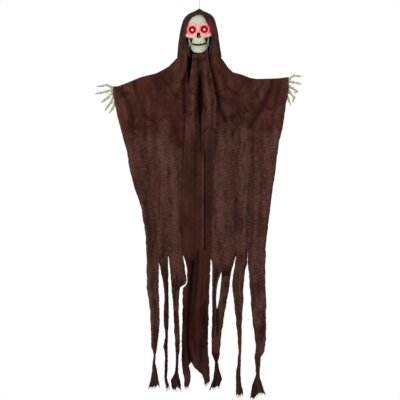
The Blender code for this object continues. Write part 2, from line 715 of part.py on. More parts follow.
def skull_cutters(head):
    """Everything that is cut from both shells."""
    wall = Vector((SKULL_WALL, SKULL_WALL, 2 * SKULL_WALL))
    half = in_skull(SKULL_LOBE_SHARES[0][1]) - wall
    form = bmesh.new()
    add_lobe(form, in_skull(SKULL_CAVITY_SHARES), half, detail=24)
    tools = [cutter("skull_cavity", mesh_from(form, "skull_cavity"), head)]
    depth = SKULL_DEPTH / 2
    for side in (1, -1):
        at = Vector((side * EYE_SPACING / 2, -depth * 0.8, EYE_HEIGHT_SHARE * SKULL_HEIGHT))
        mesh = cylinder_mesh("eye_hole", EYE_HOLE_DIAMETER, depth, along_y(at), 24)
        tools.append(cutter("eye_hole", mesh, head))
    form = bmesh.new()
    nose_middle = Vector((0, -depth * 0.8, NOSE_TOP_SHARE * SKULL_HEIGHT - NOSE_HEIGHT / 2))
    oval = Matrix.Diagonal((1, NOSE_HEIGHT / NOSE_WIDTH, 1, 1))
    add_cylinder(form, NOSE_WIDTH, depth, along_y(nose_middle) @ oval, 12)
    tools.append(cutter("nose_hole", mesh_from(form, "nose_hole"), head))
    wide = SKULL_WIDTH
    palate = PALATE_BACK_SHARE * SKULL_DEPTH
    low = box_mesh("floor_cut", (-wide, palate, -CUT_OVERRUN), (wide, SKULL_DEPTH, floor_height()))
    tools.append(cutter("floor_cut", low, head))
    teeth_line = TEETH_LINE_SHARE * SKULL_HEIGHT
    high = (wide, palate + CUT_OVERRUN, teeth_line)
    teeth = box_mesh("teeth_cut", (-wide, -SKULL_DEPTH, -CUT_OVERRUN), high)
    tools.append(cutter("teeth_cut", teeth, head))
    slack = Vector((TOUCH_GAP, TOUCH_GAP, TOUCH_GAP))
    low_corner, high_corner = box_corners()
    box_hole = box_mesh("box_hole", low_corner - slack, high_corner + slack + Vector((0, CUT_OVERRUN, 0)))
    tools.append(cutter("box_hole", box_hole, head))
    hole = BASE_SCREW_DIAMETER + 2 * TOUCH_GAP
    for place in base_screw_places().values():
        at = place + Vector((0, 0, floor_height()))
        length = 2 * (BASE_SCREW_BITE + TOUCH_GAP)
        bore = cylinder_mesh("base_screw_hole", hole, length, Matrix.Translation(at), 12)
        tools.append(cutter("base_screw_hole", bore, head))
    hinge = hinge_middle()
    clear_radius = RAMUS_THICKNESS * 1.06
    room_outer = hinge_face() + JAW_SIDE_GAP + RAMUS_THICKNESS + 2 * TOUCH_GAP
    for side in (1, -1):
        ends = sorted((side * hinge_face(), side * room_outer))
        low = Vector((ends[0], hinge.y - 5 * RAMUS_THICKNESS, -CUT_OVERRUN))
        high = Vector((ends[1], hinge.y + clear_radius * 1.5, hinge.z + clear_radius))
        tools.append(cutter("jaw_room", box_mesh("jaw_room", low, high), head))
    eye_hole = EYE_WIRE_DIAMETER + 2 * TOUCH_GAP
    crown = Matrix.Translation((0, 0, SKULL_HEIGHT - chin_drop()))
    tools.append(cutter("crown_hole", cylinder_mesh("crown_hole", eye_hole, 8 * SKULL_WALL, crown, 12)))
    return tools


def build_skull(head):
    """The face shell and the back shell, split across the ears, with the jaw's hinge pads on the back one."""
    tools = skull_cutters(head)
    face = skull_blank("skull_face", head)
    back = skull_blank("skull_back", head)
    seam = SKULL_SEAM_SHARE * SKULL_DEPTH
    wide = SKULL_WIDTH
    tall = SKULL_HEIGHT + CUT_OVERRUN
    front_half = box_mesh("front_half", (-wide, -SKULL_DEPTH, -CUT_OVERRUN), (wide, seam, tall))
    back_half = box_mesh("back_half", (-wide, seam - TOUCH_GAP, -CUT_OVERRUN), (wide, SKULL_DEPTH, tall))
    for shell in (face, back):
        for tool in tools:
            change(shell, "DIFFERENCE", tool)
    change(face, "DIFFERENCE", cutter("face_cut", back_half, head))
    change(back, "DIFFERENCE", cutter("back_cut", front_half, head))
    for side in (1, -1):
        pad_middle = hinge_middle()
        pad_middle.x = side * (hinge_face() - SKULL_WALL * 0.45 - TOUCH_GAP)
        pad = cylinder_mesh("hinge_pad", PIN_DIAMETER * 2.4, SKULL_WALL * 0.9, along_x(pad_middle), 16)
        change(back, "UNION", cutter("hinge_pad", pad, head))
    for side in (1, -1):
        seat_middle = hinge_middle()
        seat_middle.x = side * hinge_face()
        length = 2 * (PIN_BITE + TOUCH_GAP)
        seat = cylinder_mesh("pin_seat", PIN_DIAMETER + 2 * TOUCH_GAP, length, along_x(seat_middle), 16)
        change(back, "DIFFERENCE", cutter("pin_seat", seat, head))


def build_crown_nut():
    """The nut that holds the screw eye, against the inside of the crown."""
    inner_top = SKULL_CAVITY_SHARES[2] * SKULL_HEIGHT
    inner_top += SKULL_LOBE_SHARES[0][1][2] * SKULL_HEIGHT - 2 * SKULL_WALL
    top = inner_top - chin_drop() - TOUCH_GAP - EYE_NUT_DIAMETER * 0.16
    inner = EYE_WIRE_DIAMETER / 2 + TOUCH_GAP
    outer = EYE_NUT_DIAMETER / 2
    profile = ((outer, 0), (outer, -EYE_NUT_HEIGHT), (inner, -EYE_NUT_HEIGHT), (inner, 0))
    turned("crown_nut", profile, Matrix.Translation((0, 0, top)), steel(), steps=6, closed=True)


def build_eyes(head):
    """Red lamp cups in the eye holes, with a diode in each and its lead back to the circuit board."""
    front = -0.34 * SKULL_DEPTH
    radius = EYE_HOLE_DIAMETER / 2 - TOUCH_GAP
    led_hole = LED_DIAMETER / 2 + TOUCH_GAP
    floor = radius * 0.5
    profile = (
        (radius, 0), (radius, -CUP_DEPTH * 0.25), (floor, -CUP_DEPTH), (led_hole, -CUP_DEPTH),
        (led_hole, CUP_WALL - CUP_DEPTH), (floor - CUP_WALL * 0.4, CUP_WALL - CUP_DEPTH),
        (radius - CUP_WALL, -CUP_DEPTH * 0.25), (radius - CUP_WALL, 0),
    )
    low_corner, _ = box_corners()
    board_front = low_corner.y - 2 * TOUCH_GAP - BOARD_THICKNESS
    lamp = LED_DIAMETER / 2
    for side, word in ((1, "left"), (-1, "right")):
        at = Vector((side * EYE_SPACING / 2, front, EYE_HEIGHT_SHARE * SKULL_HEIGHT))
        facing = Matrix.Translation(at) @ Matrix.Rotation(math.radians(90), 4, "X")
        turned("eye_cup_" + word, profile, facing, red_plastic(), head, closed=True)
        rim_top = -CUP_DEPTH - TOUCH_GAP
        angles = [step * math.pi / 8 for step in range(5)]
        dome = [(lamp * math.sin(angle), lamp * (math.cos(angle) - 1)) for angle in angles]
        top = rim_top + LED_LENGTH - LED_RIM_THICKNESS
        rim = LED_RIM_DIAMETER / 2
        led = [(r, top + z) for r, z in dome]
        rim_low = rim_top - LED_RIM_THICKNESS
        led += [(lamp, rim_top), (rim, rim_top), (rim, rim_low), (0, rim_low)]
        turned("led_" + word, led, facing, red_plastic(), head, steps=10)
        start = at + Vector((0, -rim_top + LED_RIM_THICKNESS + TOUCH_GAP, 0))
        end = Vector((side * CELL_DIAMETER * 0.7, board_front - TOUCH_GAP, at.z + CELL_DIAMETER / 2))
        lift = Vector((0, 0, SKULL_HEIGHT * 0.03))
        points = [start, start + Vector((0, 0.12 * SKULL_DEPTH, 0)), (start + end) / 2 + lift,
                  end - Vector((0, 0.1 * SKULL_DEPTH, 0)), end]
        rod("led_lead_" + word, smooth_through(points, 16), LEAD_DIAMETER, red_plastic(), head, detail=1)


def build_power(head):
    """Battery box, two cells, their contacts, the sliding door, the switch and the circuit board."""
    low, high = box_corners()
    box = keep("battery_box", box_mesh("battery_box", low, high), dark_plastic(), head)
    pocket_low = low.z + BOX_WALL
    pocket_high = pocket_low + CELL_LENGTH + 2 * (CONTACT_THICKNESS + TOUCH_GAP) + TOUCH_GAP
    side = high.x - BOX_WALL
    pocket_floor = high.y - DOOR_THICKNESS - CELL_DIAMETER - 5 * TOUCH_GAP
    open_corner = (side, high.y + CUT_OVERRUN, pocket_high)
    pocket = box_mesh("cell_pocket", (-side, pocket_floor, pocket_low), open_corner)
    change(box, "DIFFERENCE", cutter("cell_pocket", pocket, head))
    door_back = high.y - 2 * TOUCH_GAP
    door_front = door_back - DOOR_THICKNESS
    door_side = side + DOOR_LIP
    groove = box_mesh(
        "door_groove",
        (-door_side - TOUCH_GAP, door_front - TOUCH_GAP, low.z - CUT_OVERRUN),
        (door_side + TOUCH_GAP, door_back + TOUCH_GAP, pocket_high + TOUCH_GAP),
    )
    change(box, "DIFFERENCE", cutter("door_groove", groove, head))
    mouth = box_mesh("door_mouth", (-side, door_front, low.z - CUT_OVERRUN), open_corner)
    change(box, "DIFFERENCE", cutter("door_mouth", mouth, head))
    door_middle = Vector((0, door_back, (low.z + pocket_high) / 2))
    form = bmesh.new()
    add_box(form, (-door_side, door_front, low.z), (door_side, door_back, pocket_high))
    door = keep("battery_door", mesh_from(form, "battery_door"), dark_plastic(), head)
    set_origin(door, door_middle)
    rib_step = DOOR_THICKNESS * 1.6
    for step in range(3):
        rib_z = low.z + rib_step * (step + 1.5)
        rib = box_mesh(
            "grip_groove",
            (-side * 0.6, door_back - DOOR_THICKNESS * 0.4, rib_z),
            (side * 0.6, door_back + CUT_OVERRUN, rib_z + rib_step / 2),
        )
        change(door, "DIFFERENCE", cutter("grip_groove", rib, head))
    build_cells(head, pocket_low, pocket_high, pocket_floor)
    build_switch(head, box, low, high, pocket_high)


def set_origin(made, point):
    """Puts an object's origin at a point of its parent's frame, with the mesh where it was."""
    made.data.transform(Matrix.Translation(-Vector(point)))
    made.location = point


def build_cells(head, pocket_low, pocket_high, pocket_floor):
    radius = CELL_DIAMETER / 2
    middle_y = pocket_floor + radius + TOUCH_GAP
    contact_low = pocket_low + TOUCH_GAP
    cell_low = contact_low + CONTACT_THICKNESS + TOUCH_GAP * 0.5
    nub = radius * 0.4
    profile = (
        (0, CELL_LENGTH), (nub, CELL_LENGTH), (nub, CELL_LENGTH - nub * 0.5),
        (radius, CELL_LENGTH - nub * 0.5),
        (radius, 0), (0, 0),
    )
    reach = CELL_DIAMETER / 2 + CELL_GAP / 2
    for side, word in ((1, "left"), (-1, "right")):
        place = Matrix.Translation((side * reach, middle_y, cell_low))
        if side < 0:
            place = place @ Matrix.Translation((0, 0, CELL_LENGTH)) @ Matrix.Rotation(math.pi, 4, "X")
        turned("battery_cell_" + word, profile, place, steel(), head, steps=16)
        inner = side * CELL_GAP / 2
        outer = side * (CELL_DIAMETER + CELL_GAP / 2)
        top = cell_low + CELL_LENGTH + TOUCH_GAP * 0.5
        tab = box_mesh(
            "contact_tab",
            (min(inner, outer), middle_y - radius * 0.7, top),
            (max(inner, outer), middle_y + radius * 0.7, top + CONTACT_THICKNESS),
        )
        keep("contact_tab_" + word, tab, steel(), head)
    bridge_half = CELL_DIAMETER + CELL_GAP / 2
    bridge = box_mesh(
        "contact_bridge",
        (-bridge_half, middle_y - radius * 0.7, contact_low),
        (bridge_half, middle_y + radius * 0.7, contact_low + CONTACT_THICKNESS),
    )
    keep("contact_bridge", bridge, steel(), head)


def build_switch(head, box, low, high, pocket_high):
    """The slide switch over the cells: its knob stands out of the box's back through a slot."""
    room_low = pocket_high + BOX_WALL
    room_high = high.z - BOX_WALL
    room_side = high.x - BOX_WALL
    wall_front = high.y - BOX_WALL
    room_corner = (room_side, wall_front, room_high)
    room = box_mesh("switch_room", (-room_side, low.y - CUT_OVERRUN, room_low), room_corner)
    change(box, "DIFFERENCE", cutter("switch_room", room, head))
    middle_z = (room_low + room_high) / 2
    slot = box_mesh(
        "switch_slot",
        (-SWITCH_SLOT_LENGTH / 2, wall_front - CUT_OVERRUN / 4, middle_z - SWITCH_SLOT_HEIGHT / 2),
        (SWITCH_SLOT_LENGTH / 2, high.y + CUT_OVERRUN, middle_z + SWITCH_SLOT_HEIGHT / 2),
    )
    change(box, "DIFFERENCE", cutter("switch_slot", slot, head))
    rest_x = -(SWITCH_SLOT_LENGTH - SWITCH_KNOB_LENGTH) / 2 + 2 * RUNNING_GAP
    knob_half_height = SWITCH_SLOT_HEIGHT / 2 - RUNNING_GAP
    base_back = wall_front - TOUCH_GAP
    base_front = base_back - SWITCH_BASE_THICKNESS
    base_half = SWITCH_KNOB_LENGTH * 0.85
    slider = keep(
        "switch_slider",
        box_mesh(
            "switch_slider",
            (rest_x - base_half, base_front, room_low + TOUCH_GAP),
            (rest_x + base_half, base_back, room_high - TOUCH_GAP),
        ),
        red_plastic(),
        head,
    )
    set_origin(slider, (rest_x, base_back, middle_z))
    knob = box_mesh(
        "switch_knob",
        (
            rest_x - SWITCH_KNOB_LENGTH / 2, base_front + SWITCH_BASE_THICKNESS / 2,
            middle_z - knob_half_height,
        ),
        (rest_x + SWITCH_KNOB_LENGTH / 2, high.y + SWITCH_KNOB_PROUD, middle_z + knob_half_height),
    )
    change(slider, "UNION", cutter("switch_knob", knob, head))
    body = box_mesh(
        "switch_body",
        (-room_side + TOUCH_GAP, low.y, room_low + TOUCH_GAP),
        (room_side - TOUCH_GAP, base_front - TOUCH_GAP, room_high - TOUCH_GAP),
    )
    keep("switch_body", body, dark_plastic(), head)
    board_low = low.z + SWITCH_ROOM
    board = box_mesh(
        "circuit_board",
        (low.x, low.y - TOUCH_GAP - BOARD_THICKNESS, board_low),
        (high.x, low.y - TOUCH_GAP, high.z - SWITCH_ROOM / 2),
    )
    keep("circuit_board", board, finish("board_green", (0.02, 0.12, 0.05), 0.5), head)


def build_base(head):
    """The plate that closes the skull from below, with its neck bearing and three screws."""
    top = floor_height() - TOUCH_GAP
    bottom = top - BASE_THICKNESS
    cranium = SKULL_LOBE_SHARES[0]
    rise = (cranium[0][2] - SKULL_FLOOR_SHARE) / cranium[1][2]
    spread = math.sqrt(1 - rise * rise)
    half_x = cranium[1][0] * SKULL_WIDTH * spread - TOUCH_GAP
    half_y = cranium[1][1] * SKULL_DEPTH * spread - TOUCH_GAP
    form = bmesh.new()
    oval = Matrix.Translation((0, 0, (top + bottom) / 2)) @ Matrix.Diagonal((1, half_y / half_x, 1, 1))
    add_cylinder(form, 2 * half_x, BASE_THICKNESS, oval, 24)
    base = keep("skull_base", mesh_from(form, "skull_base"), bone_plastic(), head)
    palate = PALATE_BACK_SHARE * SKULL_DEPTH + TOUCH_GAP
    nose_low = (-half_x, -SKULL_DEPTH, bottom - CUT_OVERRUN)
    nose = box_mesh("base_nose_cut", nose_low, (half_x, palate, top + CUT_OVERRUN))
    change(base, "DIFFERENCE", cutter("base_nose_cut", nose, head))
    boss_low, boss_high = boss_heights()
    level = Matrix.Translation((0, 0, (boss_low + boss_high) / 2))
    boss = cylinder_mesh("neck_boss", NECK_BOSS_DIAMETER, boss_high - boss_low, level, 20)
    change(base, "UNION", cutter("neck_boss", boss))
    bore = cylinder_mesh("neck_bore", NECK_BORE, boss_high - boss_low + CUT_OVERRUN, level, 20)
    change(base, "DIFFERENCE", cutter("neck_bore", bore))
    head_radius = BASE_SCREW_HEAD_DIAMETER / 2
    shank = BASE_SCREW_DIAMETER / 2
    under = bottom - TOUCH_GAP
    tip = floor_height() + BASE_SCREW_BITE
    profile = (
        (0, tip), (shank, tip - shank), (shank, under), (head_radius, under),
        (head_radius * 0.8, under - BASE_SCREW_HEAD_HEIGHT), (0, under - BASE_SCREW_HEAD_HEIGHT),
    )
    for word, place in base_screw_places().items():
        hole = cylinder_mesh(
            "plate_hole", BASE_SCREW_DIAMETER + 2 * TOUCH_GAP, BASE_THICKNESS + CUT_OVERRUN,
            Matrix.Translation(place + Vector((0, 0, (top + bottom) / 2))), 12,
        )
        change(base, "DIFFERENCE", cutter("plate_hole", hole, head))
        turned("base_screw_" + word, profile, Matrix.Translation(place), steel(), head, steps=12)


def boss_heights():
    """Lower and upper end of the level neck bearing, in the part's frame."""
    middle = floor_height() - TOUCH_GAP - BASE_THICKNESS / 2 - chin_drop()
    low = middle - NECK_BOSS_HEIGHT * 0.4
    return low, low + NECK_BOSS_HEIGHT


def build_neck():
    """The post that hangs in the bearing by its collar, the collar's screw, and the hub at its foot."""
    boss_low, boss_high = boss_heights()
    journal = NECK_BORE / 2 - RUNNING_GAP
    journal_top = boss_high + RUNNING_GAP
    neck = NECK_DIAMETER / 2
    hub = HUB_DIAMETER / 2
    hub_top = -SHOULDER_DROP + HUB_HEIGHT / 2
    hub_low = -SHOULDER_DROP - HUB_HEIGHT / 2
    shoulder = boss_low - RUNNING_GAP
    profile = (
        (0, journal_top), (journal, journal_top), (journal, shoulder), (neck, shoulder),
        (neck, hub_top + hub - neck), (hub, hub_top), (hub, hub_low), (0, hub_low),
    )
    post = turned("neck_post", profile, Matrix(), frame_plastic())
    half_y = BAR_THICKNESS / 2 + TOUCH_GAP
    half_z = BAR_HEIGHT / 2 + TOUCH_GAP
    channel = box_mesh(
        "bar_channel",
        (-HUB_DIAMETER, -half_y, -SHOULDER_DROP - half_z),
        (HUB_DIAMETER, half_y, -SHOULDER_DROP + half_z),
    )
    change(post, "DIFFERENCE", cutter("bar_channel", channel))
    screw = NECK_SCREW_DIAMETER / 2
    screw_hole = cylinder_mesh(
        "neck_screw_hole", NECK_SCREW_DIAMETER + 2 * TOUCH_GAP, 2 * (NECK_SCREW_LENGTH + TOUCH_GAP),
        Matrix.Translation((0, 0, journal_top + NECK_COLLAR_THICKNESS)), 16,
    )
    change(post, "DIFFERENCE", cutter("neck_screw_hole", screw_hole))
    collar_low = journal_top + TOUCH_GAP
    collar_top = collar_low + NECK_COLLAR_THICKNESS
    outer = NECK_COLLAR_DIAMETER / 2
    inner = screw + TOUCH_GAP
    ring = ((outer, collar_top), (outer, collar_low), (inner, collar_low), (inner, collar_top))
    turned("neck_collar", ring, Matrix(), frame_plastic(), closed=True)
    seat = collar_top + TOUCH_GAP
    head_radius = NECK_SCREW_HEAD_DIAMETER / 2
    head_height = head_radius * 0.8
    tip = seat - NECK_SCREW_LENGTH
    bolt = (
        (0, seat + head_height), (head_radius * 0.85, seat + head_height), (head_radius, seat), (screw, seat),
        (screw, tip + screw), (0, tip),
    )
    turned("neck_screw", bolt, Matrix(), steel(), steps=16)
    hub_screw_tip = -SHOULDER_DROP + BAR_HEIGHT * 0.25
    hub_seat = hub_low - TOUCH_GAP
    bolt = (
        (0, hub_screw_tip), (screw, hub_screw_tip - screw), (screw, hub_seat), (head_radius, hub_seat),
        (head_radius * 0.85, hub_seat - head_height), (0, hub_seat - head_height),
    )
    turned("hub_screw", bolt, Matrix(), steel(), steps=16)
    hub_hole = cylinder_mesh(
        "hub_screw_hole", NECK_SCREW_DIAMETER + 2 * TOUCH_GAP, 2 * (hub_screw_tip + TOUCH_GAP - hub_low),
        Matrix.Translation((0, 0, hub_low)), 16,
    )
    hole = cutter("hub_screw_hole", hub_hole)
    change(post, "DIFFERENCE", hole)
    return hole


def build_shoulders(hub_hole):
    """The shoulder bar with a forked end for each arm, and the rivets the arms swing on."""
    half = SHOULDER_SPAN / 2 + FORK_REACH
    form = bmesh.new()
    add_box(
        form,
        (-half, -BAR_THICKNESS / 2, -SHOULDER_DROP - BAR_HEIGHT / 2),
        (half, BAR_THICKNESS / 2, -SHOULDER_DROP + BAR_HEIGHT / 2),
    )
    bar = keep("shoulder_bar", mesh_from(form, "shoulder_bar"), frame_plastic())
    soften = bar.modifiers.new("corners", "BEVEL")
    soften.width = BAR_CORNER
    soften.segments = 2
    change(bar, "DIFFERENCE", hub_hole)
    slot_half = ARM_EYE_THICKNESS / 2 + TOUCH_GAP
    shank = RIVET_DIAMETER / 2
    head_radius = RIVET_HEAD_DIAMETER / 2
    face = BAR_THICKNESS / 2 + TOUCH_GAP
    profile = (
        (0, face + RIVET_HEAD_THICKNESS), (head_radius * 0.7, face + RIVET_HEAD_THICKNESS),
        (head_radius, face), (shank, face), (shank, -face), (head_radius, -face),
        (head_radius * 0.7, -face - RIVET_HEAD_THICKNESS),
        (0, -face - RIVET_HEAD_THICKNESS),
    )
    for side, word in ((1, "left"), (-1, "right")):
        ends = sorted((side * (half + CUT_OVERRUN), side * (half - FORK_SLOT_DEPTH)))
        slot_low = (ends[0], -slot_half, -SHOULDER_DROP - BAR_HEIGHT)
        slot = box_mesh("fork_slot", slot_low, (ends[1], slot_half, -SHOULDER_DROP + BAR_HEIGHT))
        change(bar, "DIFFERENCE", cutter("fork_slot", slot))
        pivot = Vector((side * SHOULDER_SPAN / 2, 0, -SHOULDER_DROP))
        hole = cylinder_mesh(
            "rivet_hole", RIVET_DIAMETER + 2 * TOUCH_GAP, BAR_THICKNESS + CUT_OVERRUN, along_y(pivot), 16
        )
        change(bar, "DIFFERENCE", cutter("rivet_hole", hole))
        turned("shoulder_rivet_" + word, profile, along_y(pivot), steel(), steps=16)


def arm_frame(side):
    """Pivot, outward direction and wrist end of an arm."""
    droop = math.radians(ARM_DROOP_LEFT if side > 0 else ARM_DROOP_RIGHT)
    pivot = Vector((side * SHOULDER_SPAN / 2, 0, -SHOULDER_DROP))
    outward = Vector((side * math.cos(droop), 0, -math.sin(droop)))
    return pivot, outward, pivot + outward * ARM_REACH


def build_arm(side, word):
    """A bent rod with a flat eye on the shoulder rivet, and the tie that stitches the cuff round its end."""
    pivot, outward, wrist = arm_frame(side)
    bow = Vector((0, 0, ARM_BOW_LEFT if side > 0 else ARM_BOW_RIGHT))
    straight = WRIST_SLEEVE_LENGTH + 2 * TIE_WIDTH
    cuff = wrist - outward * straight
    points = [pivot, pivot + outward * ARM_REACH * 0.18 + bow * 0.5, pivot + outward * ARM_REACH * 0.45 + bow,
              pivot + outward * ARM_REACH * 0.7 + bow * 0.5, cuff]
    route = smooth_through(points, 13) + [wrist]
    arm = rod("arm_rod_" + word, route, ARM_DIAMETER, steel(), detail=1, as_mesh=True)
    set_origin(arm, pivot)
    eye = cylinder_mesh("arm_eye", ARM_EYE_DIAMETER, ARM_EYE_THICKNESS, along_y(pivot), 24)
    change(arm, "UNION", cutter("arm_eye", eye))
    hole = cylinder_mesh(
        "arm_eye_hole", RIVET_DIAMETER + 2 * RUNNING_GAP, ARM_EYE_THICKNESS + CUT_OVERRUN, along_y(pivot), 16
    )
    change(arm, "DIFFERENCE", cutter("arm_eye_hole", hole))
    half = TIE_WIDTH / 2
    tie_middle = wrist - outward * (WRIST_SLEEVE_LENGTH + half + TOUCH_GAP)
    inner = ARM_DIAMETER / 2 + TOUCH_GAP
    outer = cuff_room(tie_middle) - TOUCH_GAP
    ring = ((outer, half), (outer, -half), (inner, -half), (inner, half))
    turned("cuff_tie_" + word, ring, face_along(tie_middle, outward), white_cord(), steps=16, closed=True)


def cuff_room(middle):
    """How far the lining's inner face stays from the arm rod where the cuff is tied."""
    pixel = column_of(middle.x)
    top = down(read(SHOULDER_LINE_PIXELS, pixel)) - CLOTH_THICKNESS / 2 - LINING_GAP
    width = shoulder_width(pixel, -1) - LINING_GAP
    arch = []
    for index in range(ARCH_ROWS + 1):
        out, fall = arch_point(width, SHOULDER_ROUND - LINING_GAP, index / ARCH_ROWS)
        arch.append(Vector((0, RIDGE_GAP / 2 + out, top - fall)))
    centre = Vector((0, 0, middle.z))
    reaches = []
    for first, second in zip(arch, arch[1:]):
        nearest, share = intersect_point_line(centre, first, second)
        nearest = first.lerp(second, min(1.0, max(0.0, share)))
        reaches.append((nearest - centre).length)
    return min(reaches) - CLOTH_THICKNESS / 2


def face_along(middle, direction):
    """A placement whose local Z follows a direction."""
    turn = Vector((0, 0, 1)).rotation_difference(direction).to_matrix().to_4x4()
    return Matrix.Translation(middle) @ turn


def build_hand(side, word, digit_shares):
    """Wrist sleeve, palm bones and five knobbly digits under one moulded skin."""
    _, outward, wrist = arm_frame(side)
    root = wrist + outward * WRIST_SLEEVE_LENGTH * 0.5
    form = bmesh.new()
    sleeve_middle = wrist - outward * (WRIST_SLEEVE_LENGTH - WRIST_DIAMETER * 0.6) / 2
    sleeve_length = WRIST_SLEEVE_LENGTH + WRIST_DIAMETER * 0.6
    add_cylinder(form, WRIST_DIAMETER, sleeve_length, face_along(sleeve_middle, outward), 20)
    joints = []
    for shares in digit_shares:
        digit = []
        for index, (out, up) in enumerate(shares):
            curl = -HAND_CURL * (index / (len(shares) - 1)) ** 2
            digit.append(root + Vector((side * out * HAND_REACH, curl, up * HAND_REACH)))
        joints.append([wrist + outward * WRIST_DIAMETER * 0.35, *digit])
    for digit in joints:
        for index, (first, second) in enumerate(zip(digit, digit[1:])):
            span = second - first
            thin = 1 - 0.09 * index
            place = face_along((first + second) / 2, span.normalized())
            add_cylinder(form, BONE_DIAMETER * thin, span.length, place, 12)
            knuckle = KNUCKLE_DIAMETER / 2 * (thin if index < len(digit) - 2 else thin * 0.8)
            add_lobe(form, second, (knuckle, knuckle, knuckle), detail=12)
    hand = keep("hand_" + word, mesh_from(form, "hand_" + word), bone_plastic())
    set_origin(hand, wrist)
    remeshed(hand, HAND_VOXEL, HAND_KEPT_SHARE)
    socket = cylinder_mesh(
        "wrist_socket", ARM_DIAMETER + 2 * TOUCH_GAP, WRIST_SLEEVE_LENGTH * 2 + 2 * TOUCH_GAP,
        face_along(wrist - outward * WRIST_SLEEVE_LENGTH, outward), 20,
    )
    change(hand, "DIFFERENCE", cutter("wrist_socket", socket))


def build_jaw(head):
    """The mandible: a tooth arch and two rami, on a pin at each side."""
    form = bmesh.new()
    half_height = JAW_BODY_HEIGHT / 2
    middle_y = JAW_ARCH_Y_SHARE * SKULL_DEPTH
    reach = JAW_ARCH_REACH_SHARE * SKULL_DEPTH
    half_width = hinge_face()
    hinge = hinge_middle()
    plate = RAMUS_THICKNESS / 2
    for step in range(-8, 9):
        angle = math.radians(11.5 * step)
        at = (half_width * math.sin(angle), middle_y - reach * math.cos(angle), half_height)
        add_lobe(form, at, (RAMUS_THICKNESS * 0.95, RAMUS_THICKNESS * 0.95, half_height), detail=12)
    chin = (0, middle_y - reach, half_height * 0.55)
    add_lobe(form, chin, (RAMUS_THICKNESS * 2.2, RAMUS_THICKNESS, half_height * 0.55), detail=12)
    ramus_x = hinge_face() + JAW_SIDE_GAP + plate
    for side in (1, -1):
        foot = Vector((side * ramus_x, middle_y, half_height * 1.1))
        top = Vector((side * ramus_x, hinge.y, hinge.z))
        for step in range(7):
            share = step / 6
            at = foot.lerp(top, share)
            wide = plate * (3.2 - 1.3 * share)
            add_lobe(form, at, (plate, wide, plate * (2.6 - 0.7 * share)), detail=12)
    jaw = keep("mandible", mesh_from(form, "mandible"), bone_plastic(), head)
    set_origin(jaw, hinge)
    remeshed(jaw, JAW_VOXEL, JAW_KEPT_SHARE)
    inner = hinge_face() + JAW_SIDE_GAP
    clear = box_mesh(
        "jaw_inner_cut", (-inner, middle_y, JAW_BODY_HEIGHT), (inner, SKULL_DEPTH, SKULL_HEIGHT)
    )
    change(jaw, "DIFFERENCE", cutter("jaw_inner_cut", clear, head))
    hole = cylinder_mesh(
        "jaw_pin_hole", PIN_DIAMETER + 2 * RUNNING_GAP, 4 * half_width, along_x(hinge), 16
    )
    change(jaw, "DIFFERENCE", cutter("jaw_pin_hole", hole, head))
    cap = PIN_CAP_DIAMETER / 2
    shank = PIN_DIAMETER / 2
    cap_face = ramus_x + plate + 2 * TOUCH_GAP
    tip = hinge_face() - PIN_BITE
    for side, word in ((1, "left"), (-1, "right")):
        profile = (
            (0, PIN_CAP_THICKNESS), (cap * 0.8, PIN_CAP_THICKNESS), (cap, 0), (shank, 0),
            (shank, tip - cap_face + shank / 2), (shank / 2, tip - cap_face), (0, tip - cap_face),
        )
        at = Vector((side * cap_face, hinge.y, hinge.z))
        turned("jaw_pin_" + word, profile, face_along(at, Vector((side, 0, 0))), steel(), head, steps=16)


def grid_cloth(name, rows, dress_thickness=CLOTH_THICKNESS):
    """A closed cloth solid from rows of points, thickened evenly about them."""
    form = bmesh.new()
    add_sheet(form, rows)
    return cloth_from(name, form, dress_thickness)


def add_sheet(form, rows):
    """A grid whose vertices are moved to the rows' points."""
    across_count = len(rows[0]) - 1
    down_count = len(rows) - 1
    made = bmesh.ops.create_grid(form, x_segments=across_count, y_segments=down_count, size=1.0)["verts"]
    for index, vertex in enumerate(made):
        vertex.co = rows[index // (across_count + 1)][index % (across_count + 1)]


def cloth_from(name, form, thickness):
    bmesh.ops.remove_doubles(form, verts=form.verts, dist=MERGE_LIMIT)
    mesh = mesh_from(form, name)
    sheet = keep(name, mesh, gauze())
    wall = sheet.modifiers.new("thickness", "SOLIDIFY")
    wall.thickness = thickness
    wall.offset = 0
    return sheet


def build_hood():
    """The hood: rings round the head, closed over the crown and open before the face."""
    rows = []
    for down_pixel, half, front, back, opening in HOOD_ROW_PIXELS:
        start = math.asin(opening / half) if opening else 0.0
        row = []
        loose = ease(down_pixel, 14, 30) * (1 - ease(down_pixel, 46, 57))
        for step in range(HOOD_COLUMNS + 1):
            angle = start + (2 * math.pi - 2 * start) * step / HOOD_COLUMNS
            deep = front if math.cos(angle) > 0 else back
            pucker = 1 + HOOD_PUCKER_SHARE * math.sin(7 * angle) * loose
            x = hood_half(half) * math.sin(angle) * pucker
            row.append(Vector((x, -hood_deep(deep) * math.cos(angle) * pucker, down(down_pixel))))
        rows.append(row)
    grid_cloth("hood", rows)


def collar(facing):
    """Depth of the collar before or behind the neck: the hood's own at its last row."""
    return hood_deep(HOOD_ROW_PIXELS[-1][2 if facing < 0 else 3])


def collar_depth(pixel, facing):
    """Depth of the robe's top edge: round the collar, and on the arms' plane beyond it."""
    share = min(abs(pixel - AXIS_PIXEL) / HOOD_ROW_PIXELS[-1][1], 1.0)
    return collar(facing) * math.sqrt(1 - share * share)


def shoulder_width(pixel, facing):
    """How far the sheet stands off its top edge where it has rolled over the shoulder."""
    away = abs(pixel - AXIS_PIXEL)
    deep = collar(facing)
    chest = deep * 1.09 + (SHOULDER_ROUND * 1.3 - deep * 1.09) * ease(away, 6.0, 36.0)
    arm = chest + (SHOULDER_ROUND * 0.56 - chest) * ease(away, 26.0, 66.0)
    return arm - collar_depth(pixel, facing)


